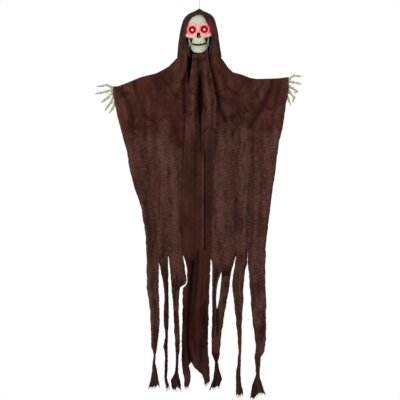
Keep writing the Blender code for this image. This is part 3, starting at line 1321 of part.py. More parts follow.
def arch_point(width, fall, share):
    """Out and down from the top edge, a share of the way over the shoulder's rounding."""
    angle = math.pi / 2 * share
    return width * math.sin(angle), fall * (1 - math.cos(angle))


def edge_top(table):
    """Where an edge meets the shoulder line."""
    return read(table, read(SHOULDER_LINE_PIXELS, read(table, table[0][0])))


def robe_rows(left, right, tip, facing, u_span, columns, counts, inset=0.0):
    """Rows of one strip, over the arm, down to the slit line and on to its tip."""
    upper_count, lower_count = counts
    tops = [edge_top(left), edge_top(right)]
    rows = [[] for _ in range(ARCH_ROWS + upper_count + lower_count + 1)]
    gap = (RIDGE_GAP / 2 + CLOTH_THICKNESS * 0.1) * facing
    for column in range(columns + 1):
        share = column / columns
        top_pixel = tops[0] + (tops[1] - tops[0]) * share
        u = u_span[0] + (u_span[1] - u_span[0]) * share
        top_down = read(SHOULDER_LINE_PIXELS, top_pixel)
        top_z = down(top_down) - CLOTH_THICKNESS / 2 - inset
        if abs(top_pixel - AXIS_PIXEL) < HOOD_ROW_PIXELS[-1][1]:
            top_z -= COLLAR_GAP
        start_y = facing * collar_depth(top_pixel, facing) + gap
        width = shoulder_width(top_pixel, facing) - inset
        round_down = SHOULDER_ROUND - inset
        for index in range(ARCH_ROWS + 1):
            out, fall = arch_point(width, round_down, index / ARCH_ROWS)
            rows[index].append(Vector((across(top_pixel), start_y + facing * out, top_z - fall)))
        side_y = start_y + facing * width
        rest_y = facing * (ROBE_FRONT_DEPTH if facing < 0 else ROBE_BACK_DEPTH) - facing * inset
        first = row_of(down(top_down) - SHOULDER_ROUND)
        for index in range(1, upper_count + lower_count + 1):
            if index <= upper_count:
                level = first + (SLIT_LINE_PIXEL - first) * index / upper_count
            else:
                level = SLIT_LINE_PIXEL + (tip - SLIT_LINE_PIXEL) * (index - upper_count) / lower_count
            pixel = read(left, level) + (read(right, level) - read(left, level)) * share
            pixel += (top_pixel - pixel) * max(0.0, 1 - index / upper_count) ** 4
            settle = ease(level, *CLOTH_SETTLE_PIXELS)
            y = side_y + (rest_y - side_y) * settle
            grow = ease(level, top_down + 6, top_down + 50)
            quiet = 1 - ease(u, 0.62, 0.86)
            wave = math.sin(2 * math.pi * (2.6 * u + 0.12)) * FOLD_DEPTH * grow * quiet
            y += facing * wave * (1 - 0.45 * ease(level, SLIT_LINE_PIXEL, tip))
            slit = ease(level, SLIT_LINE_PIXEL, SLIT_LINE_PIXEL + 20)
            curl = math.cos(math.pi * (share - 0.5)) * CREASE_DEPTH * slit
            rows[ARCH_ROWS + index].append(Vector((across(pixel), y + facing * curl, down(level))))
    return rows


def joined(upper, lower):
    """One edge table from its stretch above the slit line and the one below."""
    return tuple(upper[:-1]) + tuple(lower)


def inset_edge(table, by):
    """The same edge, moved across below the slit line."""
    low = SLIT_LINE_PIXEL + 8
    return tuple((level, pixel + by * ease(level, SLIT_LINE_PIXEL, low)) for level, pixel in table)


def build_robe():
    """Front and back sheets on each side, slit into strips, with a short lining under each front."""
    right_one = joined(RIGHT_FIRST_PIXELS, STRIP_ONE_RIGHT_PIXELS)
    right_two = (
        joined(RIGHT_FIRST_PIXELS, STRIP_TWO_LEFT_PIXELS),
        joined(RIGHT_SECOND_PIXELS, STRIP_TWO_RIGHT_PIXELS),
    )
    right_three = (
        joined(RIGHT_SECOND_PIXELS, STRIP_THREE_LEFT_PIXELS),
        joined(RIGHT_INNER_PIXELS, STRIP_THREE_RIGHT_PIXELS),
    )
    left_seven = joined(LEFT_SECOND_PIXELS, STRIP_SEVEN_LEFT_PIXELS)
    left_six = (
        joined(LEFT_SECOND_PIXELS, STRIP_SIX_RIGHT_PIXELS),
        joined(LEFT_FIRST_PIXELS, STRIP_SIX_LEFT_PIXELS),
    )
    left_five = (
        joined(LEFT_FIRST_PIXELS, STRIP_FIVE_RIGHT_PIXELS),
        joined(LEFT_INNER_PIXELS, STRIP_FIVE_LEFT_PIXELS),
    )
    right_edges = ((RIGHT_OUTER_PIXELS, right_one, 387.0), (*right_two, 388.0), (*right_three, 390.0))
    left_edges = ((LEFT_OUTER_PIXELS, left_seven, 398.0), (*left_six, 397.0), (*left_five, 391.0))
    for word, inward, edges in (("right", 1, right_edges), ("left", -1, left_edges)):
        front = bmesh.new()
        lining = bmesh.new()
        for index, (outer, inner, tip) in enumerate(edges):
            span = (index / len(edges), (index + 1) / len(edges))
            add_sheet(front, robe_rows(outer, inner, tip, -1, span, FRONT_COLUMNS, FRONT_ROWS))
            if index < len(edges) - 1:
                rows = robe_rows(outer, inner, tip, -1, span, FRONT_COLUMNS, FRONT_ROWS, LINING_GAP)
                add_sheet(lining, rows[:LINING_ROWS])
        cloth_from("robe_front_" + word, front, CLOTH_THICKNESS)
        cloth_from("lining_" + word, lining, CLOTH_THICKNESS)
        cloth_from("robe_back_" + word, robe_back(inward, edges), CLOTH_THICKNESS)


def robe_back(inward, edges):
    """The back sheet of one side: the front's strips, narrower and shorter, and one more to the seam."""
    back = bmesh.new()
    aside = inward * SEAM_GAP_PIXELS
    strips = [
        (inset_edge(outer, aside), inset_edge(inner, -aside), tip - BACK_SHORTER_PIXELS * (1 + index))
        for index, (outer, inner, tip) in enumerate(edges)
    ]
    inner_upper = edges[-1][1][:4]
    slit_pixel = read(edges[-1][1], SLIT_LINE_PIXEL)
    inner_lower = ((256, slit_pixel), (300, slit_pixel + inward * 3), (384, slit_pixel + inward * 5))
    middle = (*inner_upper, *inner_lower)
    seam = ((57, AXIS_PIXEL - aside), (390, AXIS_PIXEL - aside))
    strips.append((middle, seam, 378.0))
    for index, (outer, inner, tip) in enumerate(strips):
        span = (index / len(strips), (index + 1) / len(strips))
        add_sheet(back, robe_rows(outer, inner, tip, 1, span, BACK_COLUMNS, BACK_ROWS))
    return back


def build_drape():
    """The long scarf: two pleats under the chin, side by side, down to a split tail."""
    pleats = (
        (DRAPE_LEFT_PIXELS, DRAPE_MIDDLE_PIXELS[:-1] + DRAPE_TAIL_PIXELS, 387.0, 0.0),
        (DRAPE_MIDDLE_PIXELS[:-1] + DRAPE_BODY_PIXELS, DRAPE_RIGHT_PIXELS, 380.0, 0.5),
    )
    form = bmesh.new()
    for left, right, tip, start in pleats:
        rows = drape_tuck(left, right, start)
        for index in range(DRAPE_ROWS[0] + DRAPE_ROWS[1] + 1):
            if index <= DRAPE_ROWS[0]:
                passed = (index / DRAPE_ROWS[0]) ** 1.15
                level = DRAPE_TOP_PIXEL + (DRAPE_FORK_PIXEL - DRAPE_TOP_PIXEL) * passed
            else:
                level = DRAPE_FORK_PIXEL + (tip - DRAPE_FORK_PIXEL) * (index - DRAPE_ROWS[0]) / DRAPE_ROWS[1]
            row = []
            for pixel, u in drape_columns(left, right, level, start):
                row.append(Vector((across(pixel), -drape_depth(level, u), down(level))))
            rows.append(row)
        add_sheet(form, rows)
    cloth_from("front_drape", form, CLOTH_THICKNESS)


def drape_columns(left, right, level, start):
    """Each column's place across one pleat at a level, and how far round the two pleats it is."""
    width = read(right, level) - read(left, level)
    for column in range(DRAPE_COLUMNS + 1):
        share = column / DRAPE_COLUMNS
        yield read(left, level) + width * share, start + 0.5 * share


def drape_tuck(left, right, start):
    """The pleat's first rows, gathered from the front of the neck post out under the chin."""
    neck_front = NECK_DIAMETER / 2 + TOUCH_GAP
    rows = []
    for level, share in ((70.0, 0.0), (68.0, 0.35), (65.0, 0.8)):
        row = []
        for pixel, u in drape_columns(left, right, DRAPE_TOP_PIXEL, start):
            forward = neck_front + (drape_depth(DRAPE_TOP_PIXEL, u) - neck_front) * share
            row.append(Vector((across(pixel) * (0.45 + 0.55 * share), -forward, down(level))))
        rows.append(row)
    return rows


def drape_depth(level, u):
    """How far before the arms' plane the scarf hangs, its pleats further out than its edges."""
    top = collar(-1) * 1.08
    settle = ease(level, *CLOTH_SETTLE_PIXELS)
    base = top + (ROBE_FRONT_DEPTH - top) * settle + DRAPE_STANDOFF
    pleat = math.sin(2 * math.pi * u) ** 2
    fullness = (0.45 + 0.55 * ease(level, 60, 80)) * (1 - 0.6 * ease(level, 120, 330))
    return base + DRAPE_PLEAT * pleat * fullness


def main():
    for old in list(bpy.data.objects):
        bpy.data.objects.remove(old)
    for name in ("skeleton_ghost", "cutters"):
        group = bpy.data.collections.new(name)
        bpy.context.scene.collection.children.link(group)
    head = bpy.data.objects.new("head_tilt", None)
    head.location = (0, 0, -chin_drop())
    head.rotation_euler = (0, math.radians(-HEAD_TILT), 0)
    bpy.data.collections["skeleton_ghost"].objects.link(head)
    hang_cord()
    hang_eye()
    build_crown_nut()
    build_skull(head)
    build_eyes(head)
    build_power(head)
    build_base(head)
    build_jaw(head)
    build_shoulders(build_neck())
    for side, word, digits in ((1, "left", LEFT_DIGIT_SHARES), (-1, "right", RIGHT_DIGIT_SHARES)):
        build_arm(side, word)
        build_hand(side, word, digits)
    build_hood()
    build_robe()
    build_drape()


main()
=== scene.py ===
"""Hanging skeleton ghost: a lit plastic skull under a gauze hood, bony hands and a long ragged robe.

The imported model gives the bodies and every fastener. This file adds the moulded bone, the cloth, the cord and
all the finishes. Metres, +Z up, the face towards -Y, the figure's own left at +X. The origin is the top of the
hanging loop.
"""
import json
import logging
import math
from collections.abc import Iterable, Sequence
from dataclasses import dataclass, replace
from enum import Enum

import bmesh
import bpy
import numpy as np
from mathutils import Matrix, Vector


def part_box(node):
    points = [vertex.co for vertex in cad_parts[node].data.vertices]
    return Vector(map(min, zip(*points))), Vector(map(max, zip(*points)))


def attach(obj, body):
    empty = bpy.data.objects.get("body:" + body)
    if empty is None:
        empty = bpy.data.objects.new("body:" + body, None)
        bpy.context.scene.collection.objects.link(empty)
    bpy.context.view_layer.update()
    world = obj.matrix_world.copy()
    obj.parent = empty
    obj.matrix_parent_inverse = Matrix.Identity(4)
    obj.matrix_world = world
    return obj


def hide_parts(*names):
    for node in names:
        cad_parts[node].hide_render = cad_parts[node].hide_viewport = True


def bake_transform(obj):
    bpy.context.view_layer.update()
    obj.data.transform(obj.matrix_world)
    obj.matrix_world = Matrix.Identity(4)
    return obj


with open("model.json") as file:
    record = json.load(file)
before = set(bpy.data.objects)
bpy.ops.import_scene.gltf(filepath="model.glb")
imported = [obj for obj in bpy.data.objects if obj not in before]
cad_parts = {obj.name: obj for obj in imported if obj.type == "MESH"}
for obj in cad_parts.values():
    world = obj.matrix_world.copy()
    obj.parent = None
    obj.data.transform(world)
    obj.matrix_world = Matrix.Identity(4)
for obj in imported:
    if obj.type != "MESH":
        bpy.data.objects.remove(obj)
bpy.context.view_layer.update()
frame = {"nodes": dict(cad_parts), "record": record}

import openvdb
from mathutils import Matrix, Vector

log = logging.getLogger("skeleton_ghost")

Array = np.ndarray
Material, Mesh, Piece, Socket = bpy.types.Material, bpy.types.Mesh, bpy.types.Object, bpy.types.NodeSocket
Ragged = list[tuple[Array, Array]]
Colour = tuple[float, float, float]
Table = tuple[tuple[float, float], ...]


class Side(Enum):
    """One side of the figure, as it faces: its own left is at +X."""

    LEFT = 1
    RIGHT = -1

    @property
    def word(self) -> str:
        """The side's word in the names of pieces."""
        return self.name.lower()


@dataclass(frozen=True)
class Picture:
    """The photograph's pixels, 400 to a side, set against the figure by its height."""

    figure_height: float = 1.6
    peak_pixel: float = 8.7
    lowest_pixel: float = 399.0
    axis_pixel: float = 199.3
    cord_top_pixel: float = -7.0

    @property
    def pixel(self) -> float:
        """Metres to one pixel."""
        return self.figure_height / (self.lowest_pixel - self.peak_pixel)

    def across(self, pixel: Array | float) -> Array | float:
        """Metres to the figure's left of its axis."""
        return (pixel - self.axis_pixel) * self.pixel

    def down(self, pixel: Array | float) -> Array | float:
        """Height of a row of pixels, below the origin."""
        return -(pixel - self.cord_top_pixel) * self.pixel


PICTURE = Picture()
SLIT_LEVEL = 256.0


def read(table: Sequence[Sequence[float]], levels: Array | float) -> Array:
    """Reads a table of pairs between its rows.

    Args:
        table: Pairs of key and value, the keys rising.
        levels: The keys to read at.

    Returns:
        The values there.
    """
    keys, values = np.array(table, float).T
    return np.interp(levels, keys, values)


def smooth_read(table: Sequence[Sequence[float]], levels: Array) -> Array:
    """Reads rows of a table along a smooth curve through them.

    Args:
        table: Rows of a key and its values, the keys rising.
        levels: The keys to read at.

    Returns:
        One row of values for each level.
    """
    rows = np.array(table, float)
    keys, values = rows[:, 0], rows[:, 1:]
    slopes = np.gradient(values, keys, axis=0)
    index = np.clip(np.searchsorted(keys, levels) - 1, 0, len(keys) - 2)
    span = (keys[index + 1] - keys[index])[:, None]
    t = np.clip((levels - keys[index])[:, None] / span, 0, 1)
    first = values[index] * (2 * t**3 - 3 * t**2 + 1) + slopes[index] * span * (t**3 - 2 * t**2 + t)
    second = values[index + 1] * (3 * t**2 - 2 * t**3) + slopes[index + 1] * span * (t**3 - t**2)
    return first + second


def ease(value: Array | float, low: float, high: float) -> Array:
    """Rises smoothly from 0 at low to 1 at high."""
    share = np.clip((np.asarray(value, float) - low) / (high - low), 0.0, 1.0)
    return share * share * (3 - 2 * share)


def soft_noise(across: Array, along: Array, seed: int) -> Array:
    """Smooth noise from -1 to 1 that repeats every 64 steps.

    Args:
        across: First coordinate, in noise steps.
        along: Second coordinate, in noise steps.
        seed: Picks the pattern.

    Returns:
        The noise at each point.
    """
    size = 64
    lattice = np.random.default_rng(seed).uniform(-1, 1, (size, size))
    across, along = np.broadcast_arrays(np.asarray(across, float), np.asarray(along, float))
    column, row = np.floor(across).astype(int), np.floor(along).astype(int)
    s, t = across - column, along - row
    s, t = s * s * (3 - 2 * s), t * t * (3 - 2 * t)
    first = lattice[column % size, row % size] * (1 - s) + lattice[(column + 1) % size, row % size] * s
    second = lattice[column % size, (row + 1) % size] * (1 - s) + lattice[(column + 1) % size, (row + 1) % size] * s
    return first * (1 - t) + second * t


def distance_to_line(x: Array, y: Array, line: Table) -> Array:
    """Least distance from each point to a broken line.

    Args:
        x: First coordinates.
        y: Second coordinates.
        line: The line's points.

    Returns:
        The distances.
    """
    best = np.full(np.shape(x), np.inf)
    for (x0, y0), (x1, y1) in zip(line, line[1:]):
        dx, dy = x1 - x0, y1 - y0
        t = np.clip(((x - x0) * dx + (y - y0) * dy) / (dx * dx + dy * dy), 0, 1)
        best = np.minimum(best, np.hypot(x - x0 - t * dx, y - y0 - t * dy))
    return best


WAVE = 0.314  # a wave texture of scale 0.314 repeats once in a unit of its coordinates


class ShaderTree:
    """Builds the nodes of one material round its Principled shader."""

    def __init__(self, name: str) -> None:
        """Starts a material of that name.

        Args:
            name: The material's name.
        """
        self.material = bpy.data.materials.new(name)
        self.material.use_nodes = True
        self.tree = self.material.node_tree
        self.surface = self.tree.nodes["Principled BSDF"]

    def add(self, kind: str, settings: dict | None = None, **inputs: object) -> bpy.types.Node:
        """Adds a node.

        Args:
            kind: The node's type without its ShaderNode prefix.
            settings: Properties to set on it.
            inputs: Input values or sockets by name, with underscores for spaces. A name such as at_0 is an index.

        Returns:
            The node.
        """
        node = self.tree.nodes.new("ShaderNode" + kind)
        for key, value in (settings or {}).items():
            setattr(node, key, value)
        for key, value in inputs.items():
            place = int(key[3:]) if key.startswith("at_") else key.replace("_", " ")
            self.put(node.inputs[place], value)
        return node

    def put(self, socket: Socket, value: object) -> None:
        """Links a socket to another, or sets its value.

        Args:
            socket: The input.
            value: An output socket, a colour or a plain value.
        """
        if isinstance(value, Socket):
            self.tree.links.new(value, socket)
        elif isinstance(value, tuple) and len(value) == 3 and socket.type == "RGBA":
            socket.default_value = (*value, 1.0)
        else:
            socket.default_value = value

    def shade(self, **inputs: object) -> None:
        """Sets or links the Principled shader's inputs, with underscores for spaces."""
        for key, value in inputs.items():
            self.put(self.surface.inputs[key.replace("_", " ")], value)

    def attribute(self, name: str) -> Socket:
        """A painted value of the mesh."""
        return self.add("Attribute", {"attribute_name": name}).outputs["Fac"]

    def place(self, source: str, scale: Colour = (1, 1, 1), centre: Colour = (0, 0, 0)) -> Socket:
        """Texture coordinates of a kind, stretched, about a centre.

        Args:
            source: Object or UV.
            scale: Stretch of each axis.
            centre: The point in metres that lands at zero.

        Returns:
            The vector socket.
        """
        start = self.add("TexCoord").outputs[source]
        offset = tuple(-c * s for c, s in zip(centre, scale))
        return self.add("Mapping", Vector=start, Scale=scale, Location=offset).outputs["Vector"]

    def noise(self, vector: Socket, scale: float, detail: float = 2.0) -> Socket:
        """Noise from 0 to 1."""
        return self.add("TexNoise", Vector=vector, Scale=scale, Detail=detail).outputs["Fac"]

    def span(self, value: Socket, low: float, high: float, top: float = 1.0) -> Socket:
        """Maps low to high onto 0 to top, smoothly."""
        settings = {"interpolation_type": "SMOOTHSTEP"}
        return self.add("MapRange", settings, Value=value, From_Min=low, From_Max=high, To_Max=top).outputs["Result"]

    def mix(self, share: object, first: object, second: object, blend: str = "MIX") -> Socket:
        """Mixes two colours."""
        settings = {"data_type": "RGBA", "blend_type": blend}
        return self.add("Mix", settings, Factor=share, at_6=first, at_7=second).outputs[2]

    def times(self, first: object, second: object, operation: str = "MULTIPLY") -> Socket:
        """Two numbers combined by the named operation."""
        return self.add("Math", {"operation": operation}, at_0=first, at_1=second).outputs[0]

    def bump(self, height: Socket, distance: float, strength: float = 1.0) -> None:
        """Gives the surface a relief of that height in metres."""
        relief = self.add("Bump", Height=height, Distance=distance, Strength=strength)
        self.shade(Normal=relief.outputs["Normal"])


@dataclass(frozen=True)
class Gauze:
    """Loose dark red-brown gauze: slubbed weave, painted shade in its folds and painted highlights on its crests,
    greyer where no lining backs it.
    """

    name: str
    lit: Colour = (0.104, 0.03, 0.021)
    grey: Colour = (0.132, 0.059, 0.044)
    # fold: the painted shade of folds and hollows, also the dark between the threads
    fold: Colour = (0.008, 0.002, 0.0016)
    # worn: the colour of the painted highlights on crests and of light worn and frayed patches
    worn: Colour = (0.175, 0.088, 0.067)
    slub: Colour = (0.235, 0.142, 0.116)
    cloud: Colour = (0.044, 0.012, 0.009)
    gap: Colour = (0.034, 0.0105, 0.008)
    warp: Colour = (0.026, 0.008, 0.0062)
    # crease: painted shade in small creases
    crease: Colour = (0.024, 0.0066, 0.0052)
    # lamp_glow: painted red light from the eye lamps, given off by the cloth
    lamp_glow: Colour = (0.23, 0.001, 0.01)
    thread_pitch: float = 0.0016
    sheer: float = 0.6

    def make(self) -> Material:
        """The material, which reads a UV map in metres and the painted layers: shade in the hollows, sheer cloth,
        highlights with light worn patches, and lamp glow.

        Returns:
            The material.
        """
        tree = ShaderTree(self.name)
        flat = tree.place("UV")
        slubs = tree.noise(tree.place("UV", (62, 230, 1)), 1.0, 5.0)
        warp = tree.noise(tree.place("UV", (340, 30, 1)), 1.0, 2.0)
        cloudy = tree.noise(tree.place("UV", (16, 9, 1)), 1.0, 4.0)
        creases = tree.noise(tree.place("UV", (52, 17, 1)), 1.0, 3.0)
        bare = tree.attribute("sheer")
        colour = tree.mix(tree.times(bare, self.sheer), self.lit, self.grey)
        # painted highlights on crests, with light worn patches
        colour = tree.mix(tree.times(tree.attribute("crest"), 0.8), colour, self.worn)
        colour = tree.mix(tree.span(cloudy, 0.42, 0.7, 0.55), colour, self.cloud)
        streak = tree.times(tree.span(slubs, 0.47, 0.72), tree.times(tree.times(bare, 0.42), 0.08, "ADD"))
        colour = tree.mix(streak, colour, self.slub)
        gaps = tree.times(tree.span(slubs, 0.5, 0.3, 0.42), tree.times(bare, 0.8))
        colour = tree.mix(gaps, colour, self.gap)
        threads = tree.times(tree.times(bare, 0.5), 0.35, "ADD")
        colour = tree.mix(tree.times(tree.span(warp, 0.5, 0.78, 0.5), threads), colour, self.warp)
        # painted shade in small creases
        colour = tree.mix(tree.times(tree.span(creases, 0.54, 0.76, 0.75), threads), colour, self.crease)
        # painted shade in the folds and hollows
        colour = tree.mix(tree.attribute("hollow"), colour, self.fold)
        waves = [
            tree.add("TexWave", {"bands_direction": axis}, Vector=flat, Scale=WAVE / self.thread_pitch).outputs["Fac"]
            for axis in ("X", "Y")
        ]
        weave = tree.times(*waves)
        colour = tree.mix(tree.span(weave, 0.3, 0.0, 0.35), colour, self.fold)
        tree.bump(tree.times(weave, tree.times(tree.times(slubs, creases, "ADD"), 1.6), "ADD"), 0.0009, 0.7)
        # painted red lamp light, given off by the cloth near the eyes
        glow = tree.mix(tree.attribute("glow"), (0.0, 0.0, 0.0), self.lamp_glow)
        tree.shade(Base_Color=colour, Roughness=0.93, Emission_Color=glow, Emission_Strength=1.0)
        tree.shade(Specular_IOR_Level=0.02)
        return tree.material


@dataclass(frozen=True)
class Bone:
    """Moulded ivory plastic with an olive wash in its hollows and painted shade in the deepest of them, and painted
    red lamp light beside the eyes.
    """

    name: str = "bone_plastic"
    ivory: Colour = (0.6, 0.62, 0.47)
    mint: Colour = (0.5, 0.6, 0.46)
    olive: Colour = (0.15, 0.155, 0.085)
    # painted shade in the deepest hollows
    painted_pit_shade: Colour = (0.007, 0.008, 0.005)
    # painted red lamp light tinting the bone near the eyes
    painted_lamp_light: Colour = (0.78, 0.17, 0.18)
    # painted lamp light given off by the bone
    lamp_glow: Colour = (0.4, 0.022, 0.032)

    def make(self) -> Material:
        """The material, which reads the painted hollow and glow.

        Returns:
            The material.
        """
        tree = ShaderTree(self.name)
        patches = tree.noise(tree.place("Object"), 38.0, 2.0)
        grain = tree.noise(tree.place("Object"), 420.0, 4.0)
        hollow = tree.attribute("hollow")
        edge = tree.times(hollow, tree.times(tree.times(grain, 0.5, "SUBTRACT"), 0.16), "ADD")
        colour = tree.mix(tree.span(patches, 0.42, 0.66), self.ivory, self.mint)
        colour = tree.mix(tree.span(edge, 0.16, 0.48, 0.9), colour, self.olive)
        # near-black painted shade where the bone is most hollow
        colour = tree.mix(tree.span(edge, 0.44, 0.78), colour, self.painted_pit_shade)
        specks = tree.noise(tree.place("Object"), 560.0, 1.0)
        stain = tree.times(tree.span(specks, 0.585, 0.7, 0.75), tree.times(tree.times(hollow, 2.2), 0.22, "ADD"))
        colour = tree.mix(stain, colour, self.olive)
        # painted red lamp light beside the eyes: a pink tint and a faint glow
        painted_lamp_light = tree.times(tree.attribute("glow"), tree.span(grain, 0.1, 0.62))
        colour = tree.mix(tree.times(painted_lamp_light, 0.8), colour, self.painted_lamp_light)
        glow = tree.mix(painted_lamp_light, (0.0, 0.0, 0.0), self.lamp_glow)
        tree.bump(tree.times(grain, patches, "ADD"), 0.0004, 0.6)
        tree.shade(Base_Color=colour, Roughness=tree.span(grain, 0.2, 0.9, 0.62), Emission_Color=glow)
        tree.shade(Emission_Strength=1.0, Specular_IOR_Level=0.35)
        return tree.material


@dataclass(frozen=True)
class Plastic:
    """Plain moulded plastic with a fine texture."""

    name: str
    colour: Colour
    worn: Colour
    roughness: float = 0.45
    texture: float = 0.0002

    def make(self) -> Material:
        """The material, mottled and scuffed a little.

        Returns:
            The material.
        """
        tree = ShaderTree(self.name)
        fine = tree.noise(tree.place("Object"), 900.0, 3.0)
        scuffs = tree.noise(tree.place("Object"), 70.0, 5.0)
        colour = tree.mix(tree.span(scuffs, 0.5, 0.72), self.colour, self.worn)
        rough = tree.times(tree.span(scuffs, 0.3, 0.8, 0.2), self.roughness, "ADD")
        tree.bump(fine, self.texture, 0.5)
        tree.shade(Base_Color=colour, Roughness=rough)
        return tree.material


@dataclass(frozen=True)
class Metal:
    """Plated steel with fine brushing and dull spots."""

    name: str
    colour: Colour = (0.6, 0.6, 0.58)
    dull: Colour = (0.36, 0.35, 0.33)
    roughness: float = 0.28

    def make(self) -> Material:
        """The material.

        Returns:
            The material.
        """
        tree = ShaderTree(self.name)
        brushing = tree.noise(tree.place("Object", (120, 120, 1500)), 1.0, 2.0)
        spots = tree.noise(tree.place("Object"), 260.0, 4.0)
        colour = tree.mix(tree.span(spots, 0.52, 0.7), self.colour, self.dull)
        rough = tree.times(tree.span(brushing, 0.2, 0.8, 0.22), self.roughness, "ADD")
        tree.bump(brushing, 0.00008, 0.4)
        tree.shade(Base_Color=colour, Roughness=rough, Metallic=1.0)
        return tree.material


@dataclass(frozen=True)
class Braid:
    """Light braided cord: crossing strands along its length."""

    name: str = "braided_cord"
    light: Colour = (0.56, 0.56, 0.55)
    dark: Colour = (0.3, 0.3, 0.29)
    pitch: float = 0.0016

    def make(self) -> Material:
        """The material, for cord that runs up and down.

        Returns:
            The material.
        """
        tree = ShaderTree(self.name)
        heights = []
        for lean in (1.0, -1.0):
            turn = tree.add("Mapping", Vector=tree.place("Object"), Rotation=(0.0, lean * 0.7, 0.0))
            wave = tree.add("TexWave", {"bands_direction": "Z"}, Scale=WAVE / self.pitch, Distortion=0.6)
            tree.put(wave.inputs["Vector"], turn.outputs["Vector"])
            heights.append(wave.outputs["Fac"])
        strands = tree.times(*heights, "MAXIMUM")
        tree.bump(strands, 0.0002, 0.8)
        tree.shade(Base_Color=tree.mix(strands, self.dark, self.light), Roughness=0.8)
        tree.shade(Sheen_Weight=0.2, Specular_IOR_Level=0.2)
        return tree.material


@dataclass(frozen=True)
class LampCup:
    """Translucent red plastic lit from the diode in its middle."""

    name: str
    spot: tuple[float, float, float]
    plastic: Colour = (0.05, 0.0, 0.001)
    hot: Colour = (1.0, 0.26, 0.22)
    lit: Colour = (0.31, 0.0, 0.004)
    far: Colour = (0.205, 0.0, 0.003)
    core: float = 0.0026
    halo: float = 0.0064
    rim: float = 0.014

    def make(self) -> Material:
        """The material, whose glow falls off with distance from the diode.

        Returns:
            The material.
        """
        tree = ShaderTree(self.name)
        away = tree.add("VectorMath", {"operation": "DISTANCE"}, at_0=tree.place("Object"), at_1=self.spot)
        reach = away.outputs["Value"]
        mottle = tree.times(tree.times(tree.noise(tree.place("Object"), 520.0), 0.5, "SUBTRACT"), 0.004)
        reach = tree.times(reach, mottle, "ADD")
        glow = tree.mix(tree.span(reach, self.halo, self.rim), self.lit, self.far)
        glow = tree.mix(tree.span(reach, self.core, self.halo), self.hot, glow)
        tree.bump(tree.noise(tree.place("Object"), 700.0), 0.0002, 0.4)
        tree.shade(Base_Color=self.plastic, Roughness=0.55, Emission_Color=glow, Emission_Strength=1.0)
        tree.shade(Specular_IOR_Level=0.15)
        return tree.material


@dataclass(frozen=True)
class LampLens:
    """The lit diode: a white-hot middle that reddens to its rim."""

    name: str = "led_lens"

    def make(self) -> Material:
        """The material.

        Returns:
            The material.
        """
        tree = ShaderTree(self.name)
        facing = tree.add("LayerWeight", Blend=0.35).outputs["Facing"]
        glow = tree.mix(tree.span(facing, 0.45, 1.0), (1.0, 0.8, 0.78), (1.0, 0.25, 0.22))
        tree.shade(Base_Color=(0.8, 0.3, 0.3), Roughness=0.1, Emission_Color=glow, Emission_Strength=1.3)
        return tree.material


def new_object(name: str, mesh: Mesh, material: Material | None) -> Piece:
    """Makes an object of a mesh in the scene, with its material.

    Args:
        name: Its name.
        mesh: Its mesh or curve.
        material: Its finish, or none yet.

    Returns:
        The object.
    """
    made = bpy.data.objects.new(name, mesh)
    bpy.context.scene.collection.objects.link(made)
    if material is not None:
        mesh.materials.clear()
        mesh.materials.append(material)
    return made


def plain_mesh(made: Piece) -> Piece:
    """Applies an object's modifiers, leaving one plain mesh.

    Args:
        made: The object.

    Returns:
        The same object.
    """
    bpy.context.view_layer.update()
    graph = bpy.context.evaluated_depsgraph_get()
    mesh = bpy.data.meshes.new_from_object(made.evaluated_get(graph))
    made.modifiers.clear()
    made.data = mesh
    mesh.name = made.name
    return made


